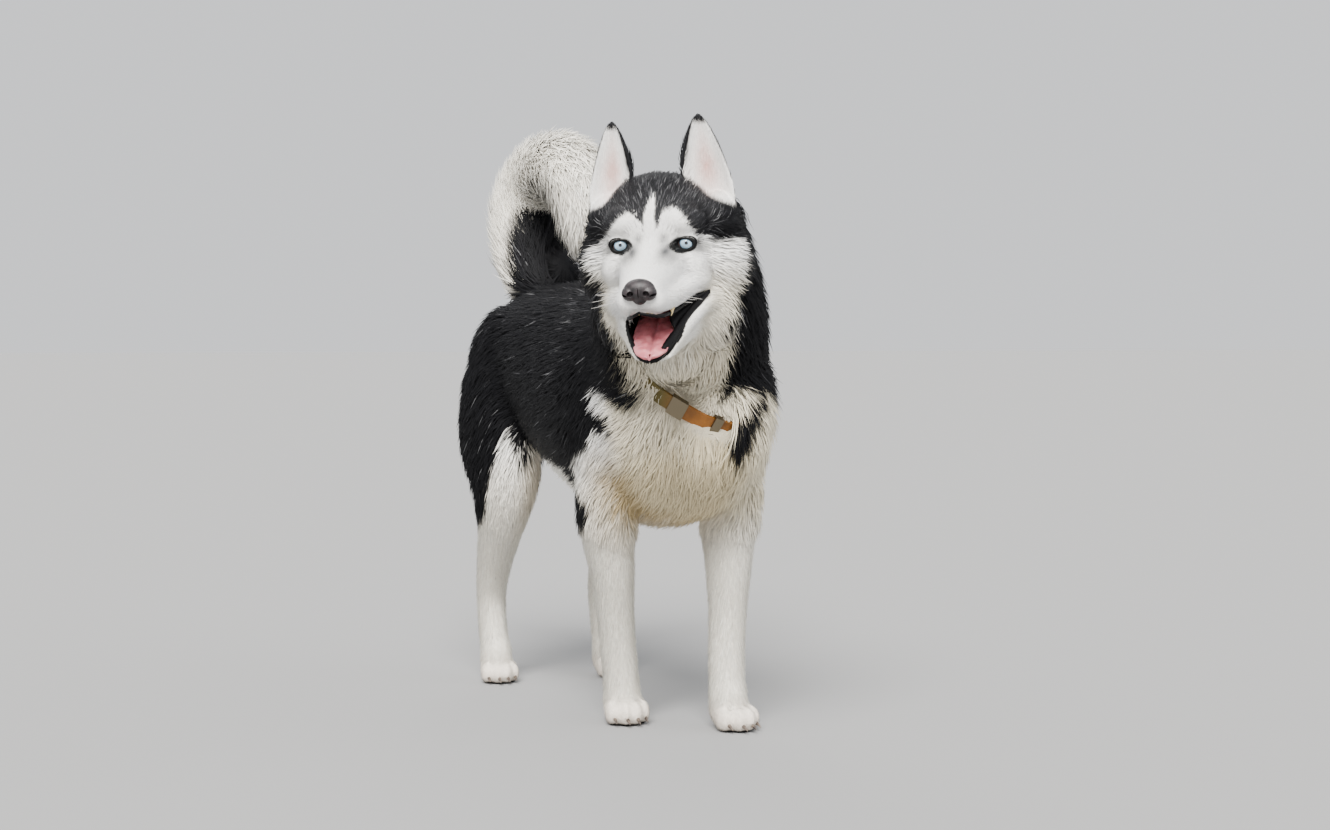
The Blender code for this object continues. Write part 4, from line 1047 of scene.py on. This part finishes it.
def grow_coat(skin, material):
    """Every coat piece, made of tufts over the skin."""
    lie = plan_lie()
    tree = BVHTree.FromObject(skin, bpy.context.evaluated_depsgraph_get())
    roots, normals = root_tufts(skin, lie)
    count = len(roots)
    usual, usual_rise, usual_width = lie.at(roots)[1].T
    length = usual * RNG.uniform(0.75, 1.2, count)
    rise = usual_rise * (0.30 + 0.70 * RNG.random(count))
    width = usual_width * RNG.uniform(0.75, 1.25, count)
    angle, height, reach = collar_place(roots)
    seen = among(angle, *COLLAR_SEEN) & (reach < COLLAR_REACH)
    above = (height > -10) & (height < 11 + length) & (roots[:, 1] < 120)
    short = seen & above
    length[short] = np.maximum(7, (height[short] - 10) * 1.1 + 3)
    rise[short] = np.minimum(rise[short], 0.25 * length[short] + 4)
    rise[above & ~seen] += 7
    rise[among(angle, *COLLAR_HIDDEN) & among(height, 4, 30) & (reach < COLLAR_REACH)] += 10
    patches = clumps(roots)
    rise *= 1 + 0.40 * patches
    bright = RNG.normal(1.0, np.where(usual < SHORT, 0.09, 0.065)).clip(0.75, 1.25)
    # Painted light and shade: tufts in raised clumps are a little lighter and those in sunk clumps a little
    # darker.
    bright *= 1 + 0.055 * patches
    fleck = RNG.random(count)
    names = coat_region(roots)
    stray = np.where(usual > 45, 0.22, 0.16)
    roll = RNG.normal(0, 0.45, count)
    made = []
    for name in sorted(set(names)):
        for kind, steps in (("_short", 1), ("", 2), ("_long", 3)):
            chosen = np.flatnonzero((names == name) & (tuft_steps(usual) == steps))
            if len(chosen) < FEW_TUFTS:
                continue
            root, up = roots[chosen], normals[chosen]
            path = trace(tree, lie, root, up, length[chosen], steps, stray[chosen])
            place, above_skin = path[-1, :2]
            middle = 0.45 * root + 0.55 * place + above_skin * 0.5 * rise[chosen][:, None]
            colours = tuft_colours(middle, above_skin, bright[chosen], fleck[chosen])
            looks = rise[chosen], width[chosen], roll[chosen], colours, unwrap(root, up)
            parts = -(-len(chosen) * tuft_faces(steps) // PIECE_BUDGET)
            for part in range(parts):
                cut = slice(part, None, parts)
                label = name + kind + ("_%d" % (part + 1) if parts > 1 else "")
                made.append(tuft_mesh(label, path[:, :, cut], *[look[cut] for look in looks]))
    for piece in made:
        piece.data.materials.append(material)
    return made


def new_material(name, colour=(0.5, 0.5, 0.5), roughness=0.5, **sockets):
    """A Principled material with its constant values set on the shader itself."""
    made = bpy.data.materials.new(name)
    made.use_nodes = True
    shader = made.node_tree.nodes["Principled BSDF"]
    set_sockets(shader, Base_Color=(*colour, 1), Roughness=roughness, **sockets)
    return made, made.node_tree, shader


def set_sockets(node, **values):
    for key, value in values.items():
        node.inputs[key.replace("_", " ")].default_value = value


def add_node(tree, kind, **sockets):
    node = tree.nodes.new("ShaderNode" + kind)
    set_sockets(node, **sockets)
    return node


def wire(tree, node, out, target, into):
    tree.links.new(node.outputs[out], target.inputs[into])


def add_bump(tree, shader, node, out, strength, distance):
    bump = add_node(tree, "Bump", Strength=strength, Distance=distance)
    wire(tree, node, out, bump, "Height")
    wire(tree, bump, "Normal", shader, "Normal")


def texture(tree, kind, **sockets):
    place = add_node(tree, "TexCoord")
    made = add_node(tree, kind, **sockets)
    wire(tree, place, "Object", made, "Vector")
    return made


# The colour sockets of a mix node.
MIX_FACTOR, MIX_A, MIX_B, MIX_RESULT = 0, 6, 7, 2


def add_mix(tree, shader, blend="MIX"):
    """A mix of two colours that feeds the shader's base colour."""
    tint = add_node(tree, "Mix")
    tint.data_type = "RGBA"
    tint.blend_type = blend
    wire(tree, tint, MIX_RESULT, shader, "Base Color")
    return tint


def painted_material(name, roughness, noise_scale, bump, **sockets):
    """A material whose colour comes from the painted attribute, broken up by fine noise."""
    made, tree, shader = new_material(name, roughness=roughness, **sockets)
    colour = add_node(tree, "Attribute")
    colour.attribute_name = "coat"
    noise = texture(tree, "TexNoise", Scale=noise_scale, Detail=4)
    vary = add_node(tree, "MapRange", To_Min=0.80, To_Max=1.16)
    wire(tree, noise, "Fac", vary, "Value")
    tint = add_mix(tree, shader, "MULTIPLY")
    tint.inputs[MIX_FACTOR].default_value = 1
    wire(tree, colour, "Color", tint, MIX_A)
    wire(tree, vary, "Result", tint, MIX_B)
    if bump:
        add_bump(tree, shader, noise, "Fac", bump, 0.002)
    return made


def leather_material(name, dark, light, scale, roughness, shaded_side=None, **sockets):
    """Worn leather or skin: patches over a base colour, with a fine pebbled grain.
    Where a shaded side colour is given, it is painted shade: the patches turn to it toward -X."""
    made, tree, shader = new_material(name, roughness=roughness, **sockets)
    patches = texture(tree, "TexNoise", Scale=scale, Detail=4)
    ramp = add_node(tree, "ValToRGB")
    for stop, place, colour in zip(ramp.color_ramp.elements, (0.35, 0.70), (dark, light)):
        stop.position = place
        stop.color = (*colour, 1)
    wire(tree, patches, "Fac", ramp, "Fac")
    if shaded_side:
        aside = add_node(tree, "SeparateXYZ")
        wire(tree, add_node(tree, "TexCoord"), "Object", aside, "Vector")
        share = add_node(tree, "MapRange", From_Min=PLACE.x - 0.078, From_Max=PLACE.x - 0.052)
        wire(tree, aside, "X", share, "Value")
        tint = add_mix(tree, shader)
        tint.inputs[MIX_A].default_value = (*shaded_side, 1)
        wire(tree, share, "Result", tint, MIX_FACTOR)
        wire(tree, ramp, "Color", tint, MIX_B)
    else:
        wire(tree, ramp, "Color", shader, "Base Color")
    add_bump(tree, shader, texture(tree, "TexVoronoi", Scale=900, Detail=4), "Distance", 0.35, 0.0006)
    return made


def finish_piece(obj, material, slot, *nodes):
    """Moves a piece made in the dog's frame into place, dresses it and lets it stand for nodes."""
    obj.data.transform(Matrix.Translation(PLACE))
    obj.data.materials.clear()
    obj.data.materials.append(material)
    obj.data.shade_smooth()
    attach(obj, "root")
    if nodes:
        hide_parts(*nodes)


CAMERA_AT = Vector((-1.1418, -2.4326, 0.50))
CAMERA_TURN = (90 - 2.07, 0, -25)
SENSOR = 36
LENS = 2074 / 1330
IRIS = 0.0076
PUPIL = 0.0016
CORNEA = 0.0011
EYE_WHITE = (0.10, 0.065, 0.055)
IRIS_EDGE = (0.30, 0.46, 0.60), (0.012, 0.020, 0.034)
IRIS_BLUE = (0.42, 0.60, 0.74)
IRIS_HEART = (0.17, 0.27, 0.38)
PUPIL_BLACK = (0.004, 0.004, 0.005)


def blend(first, second, share):
    return [a + (b - a) * share for a, b in zip(first, second)]


def eye_colour(off_axis, angle):
    """The eyeball's colour at a distance from its axis, with fine rays in the iris."""
    streak = 0.5 + 0.5 * math.sin(angle * 23 + 2.2 * math.sin(angle * 5)) * math.sin(angle * 41 + 1)
    share = (off_axis - PUPIL) / (IRIS - PUPIL)
    if off_axis > IRIS * 1.06:
        return EYE_WHITE
    if share > 0.80:
        return blend(*IRIS_EDGE, min(1, (share - 0.80) / 0.22))
    if share < 0.06:
        return PUPIL_BLACK
    light = 0.78 + 0.34 * streak * share + 0.12 * share
    return blend([c * light for c in IRIS_BLUE], IRIS_HEART, 0.7 * max(0, (0.30 - share) / 0.30))


def eye_centre(side):
    return Vector(mm((SIGN[side] * EYE_OUT, EYE_BACK, 0)))


def build_eye(side, material):
    """An eyeball with a low cornea, its iris turned toward the camera and painted ring by ring."""
    radius = EYE_RADIUS / 1000
    centre = HEAD @ eye_centre(side)
    bm = bmesh.new()
    bmesh.ops.create_uvsphere(bm, u_segments=96, v_segments=120, radius=radius)
    ahead = HEAD.to_3x3() @ Vector((0.10 * SIGN[side], -1, 0.02))
    gaze = (CAMERA_AT - centre).normalized().lerp(ahead, 0.30).normalized()
    turn = Vector((0, 0, 1)).rotation_difference(gaze).to_matrix()
    colours = []
    for vert in bm.verts:
        off_axis = math.hypot(vert.co.x, vert.co.y) if vert.co.z > 0 else radius
        colours.append(eye_colour(off_axis, math.atan2(vert.co.y, vert.co.x)))
        if off_axis < IRIS:
            vert.co.z += CORNEA * (1 - (off_axis / IRIS) ** 2) * vert.co.z / radius
    bmesh.ops.transform(bm, matrix=Matrix.Translation(centre) @ turn.to_4x4(), verts=bm.verts)
    mesh = bpy.data.meshes.new("eyeball_" + side)
    bm.to_mesh(mesh)
    bm.free()
    paint(mesh, np.array(colours))
    finish_piece(link(bpy.data.objects.new("eyeball_" + side, mesh)), material, "eye", "eye_" + side)


def tube(bm, points, radii, flat=1.0, up=Vector((0, 0, 1)), sides=12, per_span=6):
    """A bent tube through the points, with a radius at each, closed by points."""
    rows = smooth_rows([(*p, r) for p, r in zip(points, radii)], per_span)
    centres = [Vector(row[:3]) for row in rows]
    rings = []
    for i, row in enumerate(rows):
        along = (centres[min(i + 1, len(rows) - 1)] - centres[max(i - 1, 0)]).normalized()
        across = along.cross(up).normalized()
        rings.append(add_ring(bm, centres[i], across, across.cross(along), row[3], row[3] * flat, sides))
    bridge(bm, rings)
    fan(bm, rings[0], centres[0])
    fan(bm, rings[-1], centres[-1])


# Lip lines in the head's frame, left and right, from the front's middle to the mouth's corner.
UPPER_LIPS = (
    ((0, -108, -65.5), (12, -106, -69), (23, -92, -71.5), (31, -65, -70.8), (41, -35, -65.8),
     (52, -10, -60.2), (64, 10, -56.2)),
    ((0, -108, -65.5), (-6, -105, -69), (-13, -92, -73), (-19, -70, -76), (-23, -50, -79),
     (-25, -40, -80.5), (-26, -32, -81.5)),
)
LOWER_LIPS = (
    ((7, -96, -119.5), (16.5, -91, -117), (26.5, -73, -105), (35.5, -48, -90), (45.2, -24, -75.5),
     (55.5, -4, -64.8), (64, 10, -57.2)),
    ((7, -96, -119.5), (-4, -91, -116.5), (-13.5, -75, -108), (-21, -58, -97), (-25.5, -44, -88),
     (-26.5, -38, -84), (-26, -32, -82)),
)
UPPER_RADII = (1.4, 1.6, 1.7, 1.8, 1.9, 2, 1.4), (1.4, 1.5, 1.6, 1.6, 1.5, 1.3, 1)
LOWER_RADII = (4.4, 4.4, 4.4, 4, 3.6, 2.8, 1.4), (4.4, 3.8, 3.2, 3, 2.4, 1.8, 1)


WEB_SIDES = 8


def add_lip_web(bm, upper, lower):
    """The black skin between the lips near the corner of the mouth, sunk a little between them."""
    fine_upper, fine_lower = smooth_rows(mm(upper), 6), smooth_rows(mm(lower), 6)
    first = len(fine_upper) * 9 // 20
    rows = []
    for top, bottom in zip(fine_upper[first:], fine_lower[first:]):
        top, bottom = Vector(top), Vector(bottom)
        sink = min(1.0, (top - bottom).length / 0.020)
        opening = 1 - len(rows) / (len(fine_upper) - first)
        row = []
        for t in np.arange(WEB_SIDES + 1) / WEB_SIDES:
            inward = Vector((-0.0045 * sink, 0.012 * opening ** 3, 0)) * math.sin(math.pi * t)
            row.append(bm.verts.new(HEAD @ (top.lerp(bottom, t) + inward)))
        rows.append(row)
    for row, following in zip(rows, rows[1:]):
        for k in range(WEB_SIDES):
            bm.faces.new((row[k], row[k + 1], following[k + 1], following[k]))


def build_lips(material):
    bm = bmesh.new()
    up = HEAD.to_3x3() @ Vector((0, 0, 1))
    for side in (0, 1):
        for lips, radii in ((UPPER_LIPS, UPPER_RADII), (LOWER_LIPS, LOWER_RADII)):
            tube(bm, [HEAD @ Vector(mm(p)) for p in lips[side]], mm(radii[side]), 1.25, up)
    lips = object_from(bm, "lips")
    for vert in lips.data.vertices:
        wave = math.sin(vert.co.x * 900) * math.sin(vert.co.y * 800 + vert.co.z * 700)
        vert.co += vert.normal * 0.0005 * wave
    finish_piece(lips, material, "nose_leather")
    bm = bmesh.new()
    add_lip_web(bm, UPPER_LIPS[0], LOWER_LIPS[0])
    web = object_from(bm, "lip_web")
    web.modifiers.new("thick", "SOLIDIFY").thickness = 0.0012
    finish_piece(bake(web), material, "nose_leather")


LID_HALF_WIDTH = 0.0112
LID_HALF_HEIGHT = 0.0078
LID_SIDES = 32


def build_lids(material):
    """The lids' black edges: a ring round each eye that lies on the eyeball and runs to two corners."""
    for side, sign in SIGN.items():
        centre = eye_centre(side)
        points, radii = [], []
        for k in range(LID_SIDES + 1):
            a = 2 * math.pi * k / LID_SIDES
            outer, rise = math.cos(a) * sign > 0, math.sin(a)
            x = LID_HALF_WIDTH * math.cos(a) * (1.10 if outer else 1.22)
            z = LID_HALF_HEIGHT * math.copysign(abs(rise) ** 1.25, rise) + 0.10 * sign * x
            depth = max(0.0, (EYE_RADIUS / 1000 + 0.0008) ** 2 - x * x - z * z) ** 0.5
            y = centre.y - max(depth, 0.0062 if outer else 0.0100)
            points.append(HEAD @ Vector((centre.x + x, y, z)))
            radii.append(0.0018 + 0.0005 * max(0.0, rise))
        bm = bmesh.new()
        tube(bm, points, radii, 1.0, HEAD.to_3x3() @ Vector((0.2, -1, 0.1)), 10, 3)
        finish_piece(object_from(bm, "lids_" + side), material, "nose_leather")


def build_nose(material):
    bm = bmesh.new()
    for x, y, z, radii in ((1, -104, -40, (18, 12.5, 12.5)), (1, -102, -47.5, (10, 10, 10)),
                           (11.5, -106, -43.5, (9.5, 10.5, 9)), (-9.5, -106, -43.5, (9.5, 10.5, 9))):
        add_blob(bm, (x, y, z), radii, frame=HEAD)
    nose = fuse(object_from(bm, "nose_leather"), 0.0008, 5)
    cutters = []
    for sign in (1, -1):
        for name, place, radii, turn in (("nostril", (9, -117, -44), (4, 6.8, 3.3), 28),
                                         ("slit", (16.5, -112, -45.5), (5, 6, 1.4), -14)):
            place = (1 + sign * place[0], *place[1:])
            cutters.append(blob_object(name, place, radii, (0, sign * turn, 0)))
    cutters.append(blob_object("groove", (1, -117, -50), (0.7, 5, 13)))
    finish_piece(ease(combine(nose, cutters, "DIFFERENCE"), 2), material, "nose_leather", "nose")


def build_tongue(material):
    """The tongue with a groove down its middle, its tip curled a little over the lip."""
    tongue = loft_object("tongue_flesh", TONGUE, sides=40, per_span=12)
    to_own = HEAD.inverted()
    line = np.array(smooth_rows(TONGUE, 8))
    for vert in tongue.data.vertices:
        own = to_own @ vert.co
        middle, height = (float(np.interp(-own.y, -line[:, 1], line[:, k])) for k in (0, 2))
        across = own.x - middle
        if own.z > height:
            own.z -= 0.0042 * math.exp(-(across / 0.0026) ** 2)
        own.z += 0.9 * abs(across) ** 1.6 * (1 if own.y > -0.085 else 0.3)
        own.z += 0.0005 * math.sin(own.y * 420) * math.sin(across * 260)
        vert.co = HEAD @ own
    finish_piece(tongue, material, "tongue", "tongue")


def add_spike(bm, root, tip, radius, bend, frame=HEAD, sides=12):
    """A tooth, claw or whisker: a curved cone from a root ring to a rounded tip."""
    root, tip, bend = (Vector(mm(tuple(v))) for v in (root, tip, bend))
    points, radii = [], []
    for k in range(6):
        t = k / 5
        points.append(frame @ (root.lerp(tip, t) + bend * math.sin(math.pi * t * 0.5)))
        radii.append(mm(radius) * (1 - t) ** 0.75 + 0.0002)
    tube(bm, points, radii, 1.0, Vector((0.3, 1, 0.1)), sides, 2)


def build_teeth(material):
    bm = bmesh.new()
    for sign, side, back in ((1, 31.5, -66), (-1, 12, -82)):
        add_spike(bm, (sign * side, back, -64), (sign * (side - 1), back - 4, -74.2), 2.7, (0, -2.5, 0))
        for k in range(3):
            x, y = 5 + sign * (2.5 + 5 * k), 1.6 * k * k - 95.5
            add_spike(bm, (x, y, -64), (x, y - 1, -70), 2.1, (0, -0.5, 0))
    finish_piece(object_from(bm, "teeth"), material, "white_coat")


def build_whiskers(material):
    """Stiff hairs on the muzzle, swept back and down."""
    bm = bmesh.new()
    for sign in (1, -1):
        for k in range(6):
            row, step = k % 2, k // 2
            stray = Vector(RNG.uniform(-3, 3, 3))
            root = Vector((sign * (24 + 3 * step), -88 + 14 * step, -47 - 5 * row)) + stray
            reach = 26 + 16 * RNG.random()
            lead = Vector((sign * (0.75 + 0.2 * RNG.random()), 0.15 + 0.5 * RNG.random(), -0.02 - 0.12 * row))
            add_spike(bm, root, root + lead.normalized() * reach, 0.13, (0, 3, -4), sides=5)
    finish_piece(object_from(bm, "whiskers"), material, "white_coat")


def build_claws(material):
    bm = bmesh.new()
    for side in SIGN:
        for kind in STANCE:
            for toe, ahead, _ in TOES:
                add_spike(bm, (toe * 14.8, ahead - 16, 11), (toe * 15.2, ahead - 25.5, 3.4), 2.3,
                          (0, -1.5, 2.2), paw_frame(kind, side))
    finish_piece(object_from(bm, "claws"), material, "nose_leather")


def dress_collar():
    """Rounds the edges of the collar's CAD nodes and gives them leather and steel."""
    # The strap's wear is in its patches. Its third colour is painted shade, darker and olive toward -X.
    leather = leather_material("collar_leather_worn_shaded", (0.150, 0.055, 0.006), (0.36, 0.130, 0.016), 34, 0.40,
                               (0.105, 0.078, 0.010), Specular_IOR_Level=0.3, Coat_Weight=0.15,
                               Coat_Roughness=0.3)
    steel, tree, shader = new_material("collar_steel", (0.20, 0.165, 0.11), 0.30, Metallic=1)
    add_bump(tree, shader, texture(tree, "TexNoise", Scale=220, Detail=4), "Fac", 0.12, 0.0004)
    for name, material, width in (("collar_strap", leather, 1.2), ("collar_keeper", steel, 0.8),
                                  ("collar_ring", steel, 0.5)):
        node = frame["nodes"][name]
        node.data.materials.clear()
        node.data.materials.append(material)
        bevel = node.modifiers.new("round", "BEVEL")
        bevel.width = mm(width)
        bevel.segments = 3
        bevel.limit_method = "ANGLE"
        bevel.angle_limit = math.radians(40)
        node.data.shade_smooth()
        node.data.set_sharp_from_angle(angle=math.radians(60))


def build_floor():
    bm = bmesh.new()
    bmesh.ops.create_grid(bm, x_segments=1, y_segments=1, size=80)
    floor = object_from(bm, "floor")
    floor.data.materials.append(new_material("floor_pale", [0.278] * 3, 1, Specular_IOR_Level=0)[0])


def add_sun(name, place, strength, spread, colour=(1, 1, 1)):
    """A soft lamp far away in the direction of the place."""
    data = bpy.data.lights.new(name, "SUN")
    data.energy = strength
    data.angle = math.radians(spread)
    data.color = colour
    lamp = link(bpy.data.objects.new(name, data))
    lamp.location = place
    lamp.rotation_euler = (-Vector(place)).to_track_quat("-Z", "Y").to_euler()


def light_scene():
    world = bpy.data.worlds.new("studio")
    bpy.context.scene.world = world
    world.use_nodes = True
    set_sockets(world.node_tree.nodes["Background"], Color=(0.80, 0.81, 0.83, 1), Strength=1.22)
    add_sun("key", (-1.6, -2.4, 3.0), 9.6, 34, (1, 0.98, 0.95))
    add_sun("fill", (2.8, -2.2, 1.6), 1, 60, (0.95, 0.97, 1))
    add_sun("back", (0.8, 3.2, 2.6), 1.4, 40)


def place_camera():
    data = bpy.data.cameras.new("camera")
    data.sensor_width = SENSOR
    data.lens = SENSOR * LENS
    camera = link(bpy.data.objects.new("camera", data))
    camera.location = CAMERA_AT + PLACE
    camera.rotation_euler = Euler([math.radians(angle) for angle in CAMERA_TURN])
    bpy.context.scene.camera = camera


FLESH = ("head", "jaw", "neck", "torso", "ear_left", "ear_right", "tail_root", "tail_middle", "tail_tip",
         "fore_leg_left", "fore_leg_right", "hind_leg_left", "hind_leg_right", "hock_left", "hock_right",
         "fore_paw_left", "fore_paw_right", "hind_paw_left", "hind_paw_right")


def build_skin_and_coat():
    skin = combine(build_body_skin(), [build_head_skin()], "UNION")
    skin.name = "skin"
    fur = painted_material("coat_fur", 0.64, 240, 0, Specular_IOR_Level=0.12)
    hide = painted_material("skin_hide", 0.70, 420, 0.5, Specular_IOR_Level=0.15)
    coat = grow_coat(skin, fur)
    points, normals = 1000 * read(skin.data.vertices, "co"), read(skin.data.vertex_normals, "vector")
    paint(skin.data, finish_colour(points, normals, False))
    finish_piece(skin, hide, "white_coat", *FLESH)
    for piece in coat:
        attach(piece, "root")


def build_face():
    wet = painted_material("eye_wet", 0.08, 30, 0, Coat_Weight=1, Coat_Roughness=0.02)
    for side in SIGN:
        build_eye(side, wet)
    build_nose(leather_material("nose_skin", (0.010, 0.008, 0.009), (0.034, 0.026, 0.028), 160, 0.42,
                                Specular_IOR_Level=0.35, Coat_Weight=0.10, Coat_Roughness=0.35))
    lip, tree, shader = new_material("lip_skin", (0.0028, 0.0024, 0.0028), 0.46, Specular_IOR_Level=0.10)
    add_bump(tree, shader, texture(tree, "TexNoise", Scale=500, Detail=4), "Fac", 0.5, 0.0010)
    build_lips(lip)
    build_lids(lip)
    build_tongue(leather_material("tongue_flesh", (0.40, 0.095, 0.115), (0.60, 0.20, 0.215), 90, 0.38,
                                  Coat_Weight=0.35, Coat_Roughness=0.2, Subsurface_Weight=0.15))
    build_teeth(leather_material("tooth_enamel", (0.50, 0.38, 0.17), (0.70, 0.58, 0.34), 120, 0.25))
    build_whiskers(new_material("whisker_hair", (0.50, 0.48, 0.45))[0])


def main():
    place_camera()
    light_scene()
    build_floor()
    build_skin_and_coat()
    build_face()
    build_claws(leather_material("claw_horn", (0.035, 0.026, 0.022), (0.16, 0.12, 0.09), 200, 0.35))
    dress_collar()


main()
